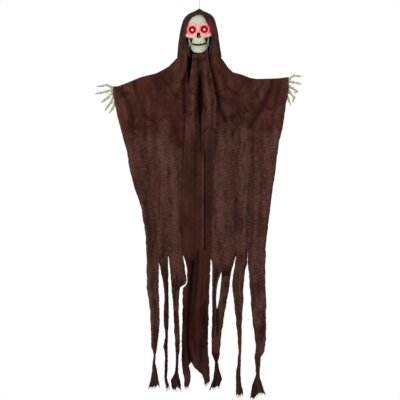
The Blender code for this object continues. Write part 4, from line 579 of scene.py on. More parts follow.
class Clay:
    """A block of distances to a surface, shaped by adding and cutting soft forms and then skinned."""

    FAR = 0.02

    def __init__(self, low: Sequence[float], high: Sequence[float], step: float) -> None:
        """Starts an empty block.

        Args:
            low: Its lowest corner, in metres.
            high: Its highest corner.
            step: The grid's spacing.
        """
        self.low = np.array(low, float)
        self.step = step
        counts = np.ceil((np.array(high, float) - self.low) / step).astype(int) + 1
        self.axes = [self.low[axis] + step * np.arange(counts[axis]) for axis in range(3)]
        self.field = np.full(counts, self.FAR)

    def window(self, low: Array, high: Array) -> tuple[tuple[slice, ...], list[Array]]:
        """The part of the grid between two corners, and its coordinates.

        Args:
            low: The lowest corner.
            high: The highest corner.

        Returns:
            The slices of the grid and the coordinates along each axis, ready to broadcast.
        """
        cuts, places = [], []
        for axis in range(3):
            first = int(np.searchsorted(self.axes[axis], low[axis]))
            last = int(np.searchsorted(self.axes[axis], high[axis]))
            cuts.append(slice(first, last))
            shape = [1, 1, 1]
            shape[axis] = -1
            places.append(self.axes[axis][first:last].reshape(shape))
        return tuple(cuts), places

    def merge(self, cuts: tuple[slice, ...], form: Array, blend: float, cut: bool) -> None:
        """Adds or cuts a form in its window, with a soft joint that many metres wide.

        Args:
            cuts: The window's slices.
            form: Distances to the form there.
            blend: Width of the joint.
            cut: True to cut the form out.
        """
        old = self.field[cuts]
        first, second = (-old, form) if cut else (old, form)
        if blend > 0:
            share = np.clip(0.5 + 0.5 * (second - first) / blend, 0, 1)
            made = second + (first - second) * share - blend * share * (1 - share)
        else:
            made = np.minimum(first, second)
        self.field[cuts] = -made if cut else made

    def lobe(
        self, middle: Sequence[float], half: Sequence[float], blend: float = 0.004, turn: float = 0.0,
        cut: bool = False,
    ) -> None:
        """Adds or cuts an ellipsoid.

        Args:
            middle: Its centre.
            half: Its half sizes.
            blend: How soft its joint is.
            turn: Its turn about Z, in radians.
            cut: True to cut it out.
        """
        middle, half = np.array(middle, float), np.array(half, float)
        reach = np.array([max(half[0], half[1])] * 2 + [half[2]]) if turn else half
        margin = blend + 4 * self.step
        cuts, (x, y, z) = self.window(middle - reach - margin, middle + reach + margin)
        x, y, z = x - middle[0], y - middle[1], z - middle[2]
        cosine, sine = math.cos(turn), math.sin(turn)
        x, y = x * cosine + y * sine, y * cosine - x * sine
        near = np.sqrt((x / half[0]) ** 2 + (y / half[1]) ** 2 + (z / half[2]) ** 2)
        steep = np.sqrt((x / half[0] ** 2) ** 2 + (y / half[1] ** 2) ** 2 + (z / half[2] ** 2) ** 2)
        self.merge(cuts, near * (near - 1) / np.maximum(steep, 1e-6), blend, cut)

    def bone(
        self, start: Sequence[float], end: Sequence[float], radius: float, end_radius: float | None = None,
        blend: float = 0.003, cut: bool = False,
    ) -> None:
        """Adds or cuts a tapering round bar.

        Args:
            start: One end.
            end: The other end.
            radius: Radius at the start.
            end_radius: Radius at the end, if another.
            blend: How soft its joint is.
            cut: True to cut it out.
        """
        start, end = np.array(start, float), np.array(end, float)
        end_radius = radius if end_radius is None else end_radius
        margin = max(radius, end_radius) + blend + 4 * self.step
        cuts, (x, y, z) = self.window(np.minimum(start, end) - margin, np.maximum(start, end) + margin)
        line = end - start
        along = (x - start[0]) * line[0] + (y - start[1]) * line[1] + (z - start[2]) * line[2]
        share = np.clip(along / max(float(line @ line), 1e-9), 0, 1)
        away = np.sqrt(
            (x - start[0] - share * line[0]) ** 2
            + (y - start[1] - share * line[1]) ** 2
            + (z - start[2] - share * line[2]) ** 2
        )
        self.merge(cuts, away - radius - (end_radius - radius) * share, blend, cut)

    def slab(self, low: Sequence[float], high: Sequence[float], blend: float = 0.002) -> None:
        """Cuts out a box between two corners.

        Args:
            low: The lowest corner.
            high: The highest corner.
            blend: How soft its joint is.
        """
        low, high = np.array(low, float), np.array(high, float)
        margin = blend + 4 * self.step
        cuts, places = self.window(low - margin, high + margin)
        reach = [np.abs(place - (a + b) / 2) - (b - a) / 2 for place, a, b in zip(places, low, high)]
        form = np.maximum(np.maximum(reach[0], reach[1]), reach[2])
        self.merge(cuts, form, blend, True)

    def hollow_out(self, wall: float) -> None:
        """Leaves only a shell that many metres thick."""
        self.field = np.maximum(self.field, -(self.field + wall))

    def value(self, points: Array) -> Array:
        """Distances at points, read between the grid's own.

        Args:
            points: The points, one to a row.

        Returns:
            The distances.
        """
        place = (points - self.low) / self.step
        base = np.clip(np.floor(place).astype(int), 0, np.array(self.field.shape) - 2)
        share = np.clip(place - base, 0, 1)
        total = np.zeros(len(points))
        for corner in np.ndindex(2, 2, 2):
            weight = np.prod(np.where(corner, share, 1 - share), axis=1)
            index = base + corner
            total += weight * self.field[index[:, 0], index[:, 1], index[:, 2]]
        return total

    def skin(self, name: str, place: Matrix, reaches: Sequence[float]) -> Mesh:
        """Makes the surface a mesh and paints how hollow it is at each point.

        Args:
            name: The mesh's name.
            place: Where the block goes.
            reaches: Distances out from the surface at which closeness to other surface counts.

        Returns:
            The mesh.
        """
        grid = openvdb.FloatGrid(self.FAR)
        grid.copyFromArray(self.field.astype(np.float32))
        points, quads = grid.convertToQuads(isovalue=0.0)
        points = points.astype(float) * self.step + self.low
        corners = points[quads]
        halves = np.cross(corners[:, 1], corners[:, 2]) + np.cross(corners[:, 2], corners[:, 3])
        volume = (corners[:, 0] * halves).sum()
        quads = quads[:, ::-1] if volume < 0 else quads
        mesh = bpy.data.meshes.new(name)
        mesh.from_pydata(points.tolist(), [], quads.tolist())
        mesh.update()
        normals = np.empty(len(points) * 3)
        mesh.vertices.foreach_get("normal", normals)
        normals = normals.reshape(-1, 3)
        deep = np.zeros(len(points))
        for reach in reaches:
            deep += np.clip(1 - self.value(points + normals * reach) / reach, 0, 1) / len(reaches)
        mesh.attributes.new("hollow", "FLOAT", "POINT").data.foreach_set("value", deep.astype(np.float32))
        mesh.transform(place)
        mesh.shade_smooth()
        return mesh


def paint(mesh: Mesh, name: str, values: Array) -> None:
    """Gives each point of a mesh a value of a paint layer."""
    layer = mesh.attributes.get(name) or mesh.attributes.new(name, "FLOAT", "POINT")
    layer.data.foreach_set("value", np.asarray(values, np.float32))


def points_of(mesh: Mesh) -> Array:
    """The places of a mesh's points.

    Args:
        mesh: The mesh.

    Returns:
        One row for each point.
    """
    flat = np.empty(len(mesh.vertices) * 3)
    mesh.vertices.foreach_get("co", flat)
    return flat.reshape(-1, 3)


def mould(
    clay: Clay, name: str, place: Matrix, reaches: Sequence[float], material: Material, body: str, node: str
) -> Mesh:
    """Makes a moulded piece of clay, in place of a CAD solid.

    Args:
        clay: Its shape.
        name: Its name.
        place: Where the block of clay goes.
        reaches: Distances at which its hollows are measured, for the olive wash and the painted shade in them.
        material: Its finish.
        body: The body that it rides on.
        node: The CAD node that it stands for.

    Returns:
        The piece's mesh, with no glow painted.
    """
    made = new_object(name, clay.skin(name, place, reaches), None)
    made.data.materials.append(material)
    paint(made.data, "glow", np.zeros(len(made.data.vertices)))
    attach(made, body)
    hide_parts(node)
    return made.data


@dataclass
class Head:
    """The skull, its jaw and its lamps, shaped in the head's own frame: chin at zero, tilted as it hangs."""

    width: float = 0.108
    depth: float = 0.15
    height: float = 0.171
    chin_drop: float = 0.2472
    tilt: float = 2.4
    eye_spacing: float = 0.0492
    eye_height: float = 0.0958
    socket_radius: float = 0.0155
    step: float = 0.0011
    wall: float = 0.003
    seam: float = -0.006
    floor_share: float = 0.362
    palate_share: float = -0.26
    teeth_line: float = 0.0352
    hinge: tuple[float, float] = (0.003, 0.0663)
    glow_reach: float = 0.0235
    tooth_count: int = 12
    # reaches at which hollows are measured for the olive wash and the painted shade
    shade_and_wear: tuple[float, ...] = (0.0014, 0.003, 0.008)
    lobe_shares: tuple = (
        ((0.0, 0.0, 0.64), (0.51, 0.48, 0.355), False),
        ((0.205, -0.415, 0.672), (0.13, 0.06, 0.045), True),
        ((0.0, -0.3, 0.7), (0.36, 0.16, 0.18), False),
        ((0.0, -0.44, 0.58), (0.07, 0.06, 0.1), False),
        ((0.375, -0.335, 0.43), (0.115, 0.1, 0.06), True),
        ((0.25, -0.36, 0.4), (0.13, 0.09, 0.055), True),
        ((0.405, -0.335, 0.56), (0.055, 0.06, 0.1), True),
        ((0.455, -0.16, 0.432), (0.042, 0.19, 0.036), True),
        ((0.0, -0.36, 0.4), (0.27, 0.145, 0.165), False),
        ((0.0, -0.345, 0.297), (0.245, 0.15, 0.075), False),
    )

    @property
    def place(self) -> Matrix:
        """Where the head's frame is."""
        return Matrix.Translation((0, 0, -self.chin_drop)) @ Matrix.Rotation(math.radians(-self.tilt), 4, "Y")

    def shares(self, x: float, y: float, z: float) -> Array:
        """A point given in shares of the skull's width, depth and height."""
        return np.array((x * self.width, y * self.depth, z * self.height))

    def eye_middle(self, side: Side) -> Array:
        """The middle of an eye socket's rim."""
        return np.array((side.value * self.eye_spacing / 2, -0.066, self.eye_height))

    def teeth(
        self, clay: Clay, centre: tuple[float, float], half: tuple[float, float], low: float, high: float,
        width: float, spread: float, smile: float = 0.005,
    ) -> None:
        """Adds a row of teeth and the roots that show above or below them.

        Args:
            clay: The block to add to.
            centre: Height of the crowns' middle and depth of the arch's centre.
            half: Half width and reach of the arch.
            low: Lowest point of the crowns.
            high: Where the roots end.
            width: A front tooth's width.
            spread: How far round the arch the row goes, in degrees.
            smile: How much higher the row's ends are than its middle.
        """
        middle_z, centre_y = centre
        for index in range(self.tooth_count):
            angle = math.radians(spread * ((index + 0.5) / self.tooth_count * 2 - 1))
            x, y = half[0] * math.sin(angle), centre_y - half[1] * math.cos(angle)
            lean = math.atan2(math.sin(angle) / half[0], math.cos(angle) / half[1])
            tall = abs(middle_z - low)
            long = 1.08 if index in (3, 8) else 1.0
            z = middle_z + smile * math.sin(angle) ** 2
            clay.lobe((x, y, z), (width / 2, 0.0027, tall * long), 0.0004, lean)
            clay.bone((x, y + 0.0012, z), (x * 0.97, y + 0.003, high), width * 0.36, width * 0.2, 0.0022)

    def skull_clay(self) -> Clay:
        """The cranium and upper teeth.

        Returns:
            The shaped block.
        """
        clay = Clay((-0.062, -0.086, 0.026), (0.062, 0.08, 0.178), self.step)
        for middle, half, mirrored in self.lobe_shares:
            for side in (1, -1) if mirrored else (1,):
                place = self.shares(side * middle[0], middle[1], middle[2])
                clay.lobe(place, self.shares(*half), 0.009)
        for side in (1, -1):
            clay.lobe((side * 0.0605, -0.034, 0.108), (0.0125, 0.026, 0.026), 0.014, cut=True)
            for turn in range(14):
                angle = 2 * math.pi * turn / 14
                rim = np.array((side * self.eye_spacing / 2, -0.0665 + 0.0045 * abs(math.cos(angle)), self.eye_height))
                ring = self.socket_radius + 0.0014
                rim += np.array((ring * math.cos(angle), 0, ring * math.sin(angle)))
                clay.lobe(rim, (0.0042, 0.0042, 0.0036), 0.004)
            clay.bone((side * 0.013, -0.0735, 0.1135), (side * 0.034, -0.0655, 0.1165), 0.0036, 0.003, 0.007)
            socket = (side * self.eye_spacing / 2, -0.07, self.eye_height)
            clay.lobe(socket, (self.socket_radius, 0.03, self.socket_radius), 0.0022, cut=True)
            clay.lobe((side * 0.0225, -0.08, 0.056), (0.0075, 0.0062, 0.0085), 0.006, cut=True)
            clay.lobe((side * 0.03, -0.06, 0.05), (0.006, 0.02, 0.011), 0.006, cut=True)
            clay.lobe((side * 0.0046, -0.076, 0.0675), (0.005, 0.02, 0.0058), 0.0015, cut=True)
            clay.lobe((side * 0.0031, -0.076, 0.075), (0.0042, 0.02, 0.0088), 0.0015, cut=True)
        clay.bone((0, -0.07, 0.095), (0, -0.0775, 0.085), 0.004, 0.0032, 0.005)
        clay.bone((0, -0.066, 0.066), (0, -0.078, 0.06), 0.0012, 0.0016, 0.003)
        self.teeth(clay, (0.042, -0.05), (0.0262, 0.0245), self.teeth_line, 0.06, 0.0066, 80.0)
        clay.slab((-0.07, self.palate_share * self.depth, -0.01), (0.07, 0.1, self.floor_share * self.height))
        clay.hollow_out(self.wall)
        for side in Side:
            eye = self.eye_middle(side)
            clay.bone(eye + (0, 0.004, 0), eye + (0, 0.034, 0), self.socket_radius, None, 0.001, True)
            clay.lobe((side.value * 0.0042, -0.07, 0.0672), (0.0046, 0.03, 0.0056), 0.001, cut=True)
            clay.lobe((side.value * 0.0028, -0.07, 0.0752), (0.0038, 0.03, 0.0086), 0.001, cut=True)
        clay.slab((-0.07, self.seam, 0.0), (0.07, 0.1, 0.2), 0.0)
        return clay

    def jaw_clay(self) -> Clay:
        """The mandible and lower teeth.

        Returns:
            The shaped block.
        """
        clay = Clay((-0.056, -0.078, -0.004), (0.056, 0.018, 0.078), self.step)
        low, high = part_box("mandible")
        hinge_x = (high.x - low.x) / 2 - 0.0034
        half_arch, deep_arch, steps = 0.0335, 0.0395, 44
        for index in range(steps + 1):
            angle = math.radians(-88 + 176 * index / steps)
            x, y = half_arch * math.sin(angle), -0.023 - deep_arch * math.cos(angle)
            climb = (abs(x) / half_arch) ** 3.2
            bottom = 0.005 + 0.0235 * climb
            top = 0.0255 + 0.0095 * climb
            clay.bone((x, y, bottom), (x * 0.985, y + 0.0035, top), 0.005, 0.0042, 0.002)
        clay.lobe((0, -0.0645, 0.0085), (0.0125, 0.0048, 0.0072), 0.006)
        for side in (1, -1):
            clay.lobe((side * 0.0085, -0.065, 0.006), (0.005, 0.0042, 0.0045), 0.005)
            corner = (side * 0.035, -0.0265, 0.029)
            clay.bone(corner, (side * (hinge_x - 0.003), -0.033, 0.056), 0.005, 0.0036, 0.006)
            clay.bone(corner, (side * hinge_x, self.hinge[0], self.hinge[1]), 0.0046, 0.004, 0.006)
            coronoid = (side * (hinge_x - 0.0015), -0.012, 0.061)
            clay.bone((side * 0.0345, -0.028, 0.034), coronoid, 0.0036, 0.0024, 0.008)
            clay.bone((side * 0.035, -0.02, 0.038), (side * hinge_x, -0.004, 0.059), 0.004, 0.0034, 0.008)
            pivot = (side * hinge_x, self.hinge[0], self.hinge[1])
            clay.lobe(pivot, (0.0036, 0.0062, 0.0062), 0.003)
        self.teeth(clay, (0.0262, -0.04), (0.0255, 0.025), 0.03, 0.014, 0.006, 78.0)
        return clay

    def glow(self, points: Array, reach: float) -> Array:
        """How strongly the lamps' painted red light falls on each point, from its distance to the sockets' rims.

        Args:
            points: Points in the scene.
            reach: How far the flush goes past a rim.

        Returns:
            Values from 0 to 1.
        """
        total = np.zeros(len(points))
        for side in Side:
            middle = np.array(self.place @ Vector(self.eye_middle(side)))
            away = np.hypot(points[:, 0] - middle[0], points[:, 2] - middle[2]) - self.socket_radius
            front = ease(-points[:, 1], 0.02, 0.045)
            total = np.maximum(total, front * (1 - ease(away, -0.001, reach)))
        return total

    def build(self, materials: dict[str, Material]) -> None:
        """Makes the face and the jaw, each in place of its CAD solid.

        Args:
            materials: The figure's finishes by name.
        """
        bone = materials["bone"]
        face = mould(self.skull_clay(), "face_shell", self.place, self.shade_and_wear, bone, "head", "skull_face")
        paint(face, "glow", self.glow(points_of(face), self.glow_reach))
        jaw = mould(self.jaw_clay(), "lower_jaw", self.place, self.shade_and_wear, bone, "jaw", "mandible")
        log.info("head: face %d and jaw %d faces", len(face.polygons), len(jaw.polygons))


@dataclass
class Hand:
    """A bony hand: five knobbly digits that spread from a moulded wrist."""

    side: Side
    droop: float
    digit_shares: tuple
    shoulder_half: float = 0.125
    shoulder_drop: float = 0.3485
    arm_reach: float = 0.214
    reach: float = 0.084
    curl: float = 0.02
    step: float = 0.0008
    shaft: float = 0.0052
    knuckle: float = 0.0067
    wrist_radius: float = 0.0062
    # reaches at which hollows are measured for the olive wash and the painted shade
    shade_and_wear: tuple[float, ...] = (0.0015, 0.004, 0.008)
    margin: float = 0.006
    sleeve_length: float = 0.018

    def build(self, materials: dict[str, Material]) -> None:
        """Makes the hand in place of its CAD solid.

        Args:
            materials: The figure's finishes by name.
        """
        sign = self.side.value
        droop = math.radians(self.droop)
        outward = np.array((sign * math.cos(droop), 0, -math.sin(droop)))
        shoulder = np.array((sign * self.shoulder_half, 0, -self.shoulder_drop))
        wrist = shoulder + outward * self.arm_reach
        root = wrist + outward * self.sleeve_length * 0.5
        low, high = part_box("hand_" + self.side.word)
        clay = Clay(np.array(low) - self.margin, np.array(high) + self.margin, self.step)
        clay.bone(wrist - outward * 0.012, wrist + outward * 0.002, self.wrist_radius, self.wrist_radius * 0.86, 0.003)
        for shares in self.digit_shares:
            joints = [wrist + outward * 0.004]
            for index, (out, up) in enumerate(shares):
                bend = -self.curl * (index / (len(shares) - 1)) ** 2
                joints.append(root + np.array((sign * out * self.reach, bend, up * self.reach)))
            joints[0] = joints[0] + (joints[1] - joints[0]) * 0.2
            for index, (first, second) in enumerate(zip(joints, joints[1:])):
                last = index == len(joints) - 2
                thin = 1 - 0.07 * index
                middle = (first + second) / 2
                end = self.shaft * (0.55 if last else 1.12) * thin
                clay.bone(first, middle, self.shaft * 1.25 * thin, self.shaft * 0.86 * thin, 0.0016)
                clay.bone(middle, second, self.shaft * 0.86 * thin, end, 0.0016)
                if not last:
                    knob = self.knuckle * thin
                    clay.lobe(second, (knob, knob * 0.92, knob), 0.0022)
                    clay.lobe(second - np.array((0, knob * 0.5, 0)), (knob * 0.6, knob * 0.7, knob * 0.6), 0.002)
        word = self.side.word
        name = "bony_hand_" + word
        hand = mould(clay, name, Matrix(), self.shade_and_wear, materials["hand"], word + "_hand", "hand_" + word)
        log.info("%s: %d faces, %d digits", name, len(hand.polygons), len(self.digit_shares))


@dataclass(frozen=True)
class Fold:
    """A soft ridge or valley of the cloth along a line of the photograph."""

    line: Table
    width: float
    rise: float
    shade: float = 0.0

    def profile(self, pixels: Array, levels: Array) -> Array:
        """How much of the fold each point has, from 0 to 1."""
        away = distance_to_line(pixels, levels, self.line) / self.width
        return np.exp(-(away**2))


class Sheet:
    """Cloth gathered from grids of points, each with its place on the flat cloth and its paint."""

    # paint layers: painted shade in the hollows, cloth with no lining behind, painted highlights with light worn
    # patches, and painted lamp glow
    LAYERS = ("hollow", "sheer", "crest", "glow")

    def __init__(self) -> None:
        """Starts with no cloth."""
        self.points: list[Array] = []
        self.flats: list[Array] = []
        self.faces: list[Array] = []
        self.paints: dict[str, list[Array]] = {layer: [] for layer in self.LAYERS}
        self.count = 0

    def add(self, points: Array, flat: Array, gone: Array | None = None, **paints: Array) -> None:
        """Adds a grid.

        Args:
            points: Rows by columns by three.
            flat: Each point's place on the flat cloth, in metres.
            gone: True for each square that is torn out.
            paints: Values of the paint layers at each point; a layer left out is zero.
        """
        rows, columns = points.shape[:2]
        index = np.arange(rows * columns).reshape(rows, columns) + self.count
        quads = np.stack([index[:-1, :-1], index[:-1, 1:], index[1:, 1:], index[1:, :-1]], axis=-1)
        self.points.append(points.reshape(-1, 3))
        self.flats.append(flat.reshape(-1, 2))
        self.faces.append(quads.reshape(-1, 4) if gone is None else quads[~gone])
        for layer in self.LAYERS:
            values = np.broadcast_to(paints.get(layer, 0.0), (rows, columns))
            self.paints[layer].append(np.clip(values, 0, 1).reshape(-1))
        self.count += rows * columns

    def add_hung(self, points: Array, above: int, aside: float, gone: Array | None = None, **paints: Array) -> None:
        """Adds a grid whose first rows lie over something, laid flat by the length of cloth down each column.

        Args:
            points: Rows by columns by three.
            above: How many rows lie above the hanging body; they are painted like its first row.
            aside: Where the piece lies across the flat cloth, in metres.
            gone: True for each square of the body that is torn out.
            paints: Values of the paint layers over the body.
        """
        fall = np.linalg.norm(np.diff(points[: above + 1], axis=0), axis=-1)
        climb = np.cumsum(fall[::-1], axis=0)[::-1]
        along = np.concatenate([points[above, :, 2] + climb, points[above:, :, 2]])
        missing = np.zeros((len(points) - 1, points.shape[1] - 1), bool)
        if gone is not None:
            missing[above:] = gone
        whole = {key: np.concatenate([np.repeat(value[:1], above, axis=0), value]) for key, value in paints.items()}
        self.add(points, np.stack([points[..., 0] + aside, along], axis=-1), missing, **whole)

    def make(self, name: str, material: Material, thickness: float, weld: float) -> Piece:
        """Makes one object of the grids, joined where they meet, and thickened.

        Args:
            name: The object's name.
            material: Its cloth.
            thickness: The cloth's thickness, in metres.
            weld: How near two points are joined.

        Returns:
            The object, as one plain mesh.
        """
        mesh = bpy.data.meshes.new(name)
        mesh.from_pydata(np.concatenate(self.points).tolist(), [], np.concatenate(self.faces).tolist())
        layer = mesh.uv_layers.new(name="UVMap")
        corners = np.empty(len(mesh.loops), int)
        mesh.loops.foreach_get("vertex_index", corners)
        layer.uv.foreach_set("vector", np.concatenate(self.flats)[corners].ravel().astype(np.float32))
        for paint_name in self.LAYERS:
            paint(mesh, paint_name, np.concatenate(self.paints[paint_name]))
        form = bmesh.new()
        form.from_mesh(mesh)
        bmesh.ops.remove_doubles(form, verts=form.verts, dist=weld)
        form.to_mesh(mesh)
        form.free()
        mesh.shade_smooth()
        made = new_object(name, mesh, material)
        wall = made.modifiers.new("thickness", "SOLIDIFY")
        wall.thickness = thickness
        wall.offset = 0
        return plain_mesh(made)


@dataclass(frozen=True)
class Strip:
    """One strip of a sheet: its edges, the row of pixels it ends at, how much lighter or darker it is painted, and a
    tear where it has one.
    """

    outer: Table
    inner: Table
    tip: float
    pale: float = 0.0
    dark: float = 0.0
    cuff: float = 0.0
    slant: float = 0.0
    tear: tuple = ()


def joined(upper: Table, lower: Table) -> Table:
    """One edge table from its stretch above the slit line and the one below."""
    return tuple(upper[:-1]) + tuple(lower)


@dataclass
class Robe:
    """The gauze robe: front and back sheets slit into ragged strips, a short lining and a long scarf."""

    materials: dict[str, Material]
    thickness: float = 0.0007
    cad_thickness: float = 0.002
    lining_gap: float = 0.0026
    collar_gap: float = 0.0022
    ridge_gap: float = 0.0006
    front_depth: float = 0.034
    back_depth: float = 0.04
    shoulder_round: float = 0.024
    fold_depth: float = 0.011
    crease_depth: float = 0.0045
    collar_front: float = 0.074
    collar_back: float = 0.09
    collar_half: float = 22.2
    rise_rows: int = 4
    rise: float = 4.2
    rise_gap: float = 0.0016
    drape_standoff: float = 0.006
    drape_pleat: float = 0.024
    settle: tuple[float, float] = (75.0, 300.0)
    pitch: float = 1.25
    arch_rows: int = 7
    lining_rows: int = 30
    weld: float = 0.00002
    rag: float = 0.8
    tip_rag: float = 2.2
    shoulder_line: Table = (
        (112.5, 86.2), (118, 86), (126, 83), (141, 76.8), (156.5, 73), (162.6, 69.8), (169, 66), (173, 61.8),
        (177.1, 57.7), (221.5, 57.7), (225, 62.8), (228.2, 67.4), (233, 72), (242, 74.4), (250, 77.6), (256, 78.7),
        (270, 78.4), (279, 78), (288.5, 76.8),
    )
    lining_line: Table = (
        (112, 126), (126, 132), (135, 137), (144, 137.3), (156.5, 133.6), (165.6, 126.4), (170.5, 142), (179, 149.4),
        (187, 148), (212, 128), (228, 121.4), (235, 125.6), (247.4, 129.2), (262.6, 132.3), (274, 129.2), (288, 128.5),
    )
    folds: tuple[Fold, ...] = (
        Fold(((190.4, 60), (187.5, 71), (183.3, 82), (184, 96), (184.5, 112)), 2.6, -0.007, 0.85),
        Fold(((183.6, 58), (180.4, 70), (177, 80)), 2, -0.003, 0.35),
        Fold(((186.6, 58), (183.8, 70), (179.6, 80), (177.5, 92)), 1.7, 0.005),
        Fold(((188, 78), (183, 84), (176.5, 97), (174, 104)), 2, -0.004, 0.6),
        Fold(((168, 84), (173.5, 95), (179.5, 99)), 2, -0.004, 0.6),
        Fold(((165, 86), (169.5, 98), (176, 103)), 1.8, 0.005),
        Fold(((163, 74), (168, 88), (171, 108), (170, 126)), 3, -0.004, 0.35),
        Fold(((178, 66), (176, 80), (172, 92)), 3.2, 0.005),
        Fold(((153, 78), (158, 86), (166, 92), (172, 93)), 2.2, -0.003, 0.38),
        Fold(((150, 82), (156, 91), (163, 97)), 2, 0.004),
        Fold(((146, 90), (153, 99), (160, 103), (168, 110)), 2.2, -0.003, 0.35),
        Fold(((150, 80), (153, 100), (155, 128), (155, 200)), 2.4, -0.0035, 0.28),
        Fold(((158, 84), (161, 110), (162, 150), (163, 230)), 3.2, 0.004),
        Fold(((134, 84), (141, 106), (145, 120), (144.4, 140)), 2.4, -0.005, 0.5),
        Fold(((130, 84), (136, 100), (141, 116)), 2.4, 0.005),
        Fold(((121, 88), (126, 98), (132, 110), (134, 128)), 2.2, -0.005, 0.55),
        Fold(((117, 88), (121, 99), (127, 116), (128, 126)), 2, 0.005),
        Fold(((128, 122), (136, 128), (146, 128), (158, 122), (166, 116)), 2.6, -0.003, 0.45),
        Fold(((172, 122), (176, 134), (181, 146)), 4, -0.003, 0.5),
        Fold(((177, 110), (178, 160), (180, 230)), 2, -0.0035, 0.35),
        Fold(((185.5, 112), (184, 160), (183, 230)), 2.8, -0.004, 0.6),
        Fold(((209.3, 60), (213, 74), (215.6, 86), (219, 106), (226, 121)), 3, -0.007, 0.8),
        Fold(((214.5, 58), (218.5, 72), (221.5, 86), (225, 104)), 2.4, 0.005),
        Fold(((218.6, 58), (223, 70), (227, 82)), 2, -0.003, 0.38),
        Fold(((226, 68), (231, 82), (232, 100), (229, 118)), 3.4, 0.0045),
        Fold(((227, 87), (233, 92), (243, 95)), 2, -0.0035, 0.55),
        Fold(((228, 92), (235, 97), (244, 99)), 1.8, 0.004),
        Fold(((226, 120), (234, 116), (242, 118), (252, 124)), 3, -0.003, 0.45),
        Fold(((240, 78), (243, 96), (240, 118), (237, 160), (237, 230)), 2.2, -0.004, 0.35),
        Fold(((272, 84), (265.6, 101), (258, 116), (249, 128)), 2.6, -0.0055, 0.6),
        Fold(((267, 82), (261, 98), (253, 112), (245, 120)), 2.8, 0.005),
        Fold(((281, 82), (277, 98), (272, 118), (270, 135)), 2, -0.004, 0.42),
        Fold(((285, 82), (281, 98), (277, 116)), 1.6, 0.004),
        Fold(((262, 120), (262, 170), (259, 230)), 2, -0.003, 0.35),
        Fold(((246, 124), (247, 180), (245, 236)), 3, 0.003),
        Fold(((222, 124), (221, 180), (223, 240)), 4, 0.003),
        Fold(((253, 130), (253.5, 190), (252, 246)), 1.2, -0.002, 0.4),
        Fold(((141, 140), (147, 200), (150, 250)), 1.4, -0.002, 0.35),
    )
    drape_folds: tuple[Fold, ...] = (
        Fold(((200.2, 74), (200, 96), (200, 120)), 2.6, -0.01, 0.6),
        Fold(((199.5, 118), (199.5, 140)), 1.6, -0.003, 0.5),
        Fold(((205, 152), (204.6, 200), (204.8, 250)), 1.5, -0.004, 0.9),
        Fold(((202.4, 152), (202.2, 200), (202.6, 250)), 1, 0.002),
        Fold(((192, 130), (191, 180), (190, 240)), 1.7, -0.003, 0.45),
        Fold(((197.6, 140), (197, 200), (198, 250)), 1.4, -0.0025, 0.35),
        Fold(((186, 130), (185.5, 200), (186, 260)), 2.2, 0.002),
        Fold(((209, 122), (208.6, 180), (207.6, 250), (206.6, 300)), 1.6, -0.002, 0.3),
        Fold(((197.6, 250), (196.8, 280), (194, 306), (193, 330), (195.5, 352)), 2.2, -0.005, 0.8),
        Fold(((203.4, 250), (202.6, 284), (200.6, 312)), 1.8, -0.004, 0.6),
        Fold(((184.6, 290), (184.6, 330), (185.6, 380)), 1.5, 0.004),
        Fold(((206.4, 262), (204.8, 312), (203, 345), (205.4, 376)), 2.6, 0.005),
        Fold(((200.2, 262), (198.4, 292), (196.6, 318), (198.6, 345)), 1.4, 0.003),
        Fold(((207.6, 312), (207.8, 345), (209, 374)), 1.2, -0.002, 0.5),
        Fold(((213.6, 100), (211.5, 130)), 1.4, -0.002, 0.35),
        Fold(((196, 57), (195, 75), (193.6, 99), (193, 120)), 1.7, 0.004),
        Fold(((204, 57), (206.2, 78), (209.4, 99), (210.6, 118)), 2.2, 0.004),
        Fold(((190.6, 74), (188.6, 99), (187.6, 118)), 1.3, -0.002, 0.45),
        Fold(((201.6, 62), (203.4, 80), (204.6, 110)), 0.9, -0.0016, 0.35),
    )

    def collar_depth(self, pixels: Array, facing: int) -> Array:
        """Depth of the robe's top edge: round the collar, and on the arms' plane beyond it.

        Args:
            pixels: Places across the picture, in pixels.
            facing: -1 for a front sheet and 1 for a back one.

        Returns:
            Metres before or behind the arms' plane.
        """
        share = np.minimum(np.abs(pixels - PICTURE.axis_pixel) / self.collar_half, 1.0)
        deep = self.collar_front if facing < 0 else self.collar_back
        return deep * np.sqrt(1 - share * share)

    def shoulder_width(self, pixels: Array, facing: int) -> Array:
        """How far the sheet stands off its top edge where it has rolled over the shoulder.

        Args:
            pixels: Places across the picture, in pixels.
            facing: -1 for a front sheet and 1 for a back one.

        Returns:
            Metres.
        """
        away = np.abs(pixels - PICTURE.axis_pixel)
        deep = self.collar_front if facing < 0 else self.collar_back
        chest = deep * 1.09 + (self.shoulder_round * 1.3 - deep * 1.09) * ease(away, 6.0, 36.0)
        arm = chest + (self.shoulder_round * 0.56 - chest) * ease(away, 26.0, 66.0)
        return arm - self.collar_depth(pixels, facing)

    def edge_top(self, table: Table) -> float:
        """Where an edge meets the shoulder line."""
        return float(read(table, read(self.shoulder_line, read(table, table[0][0]))))

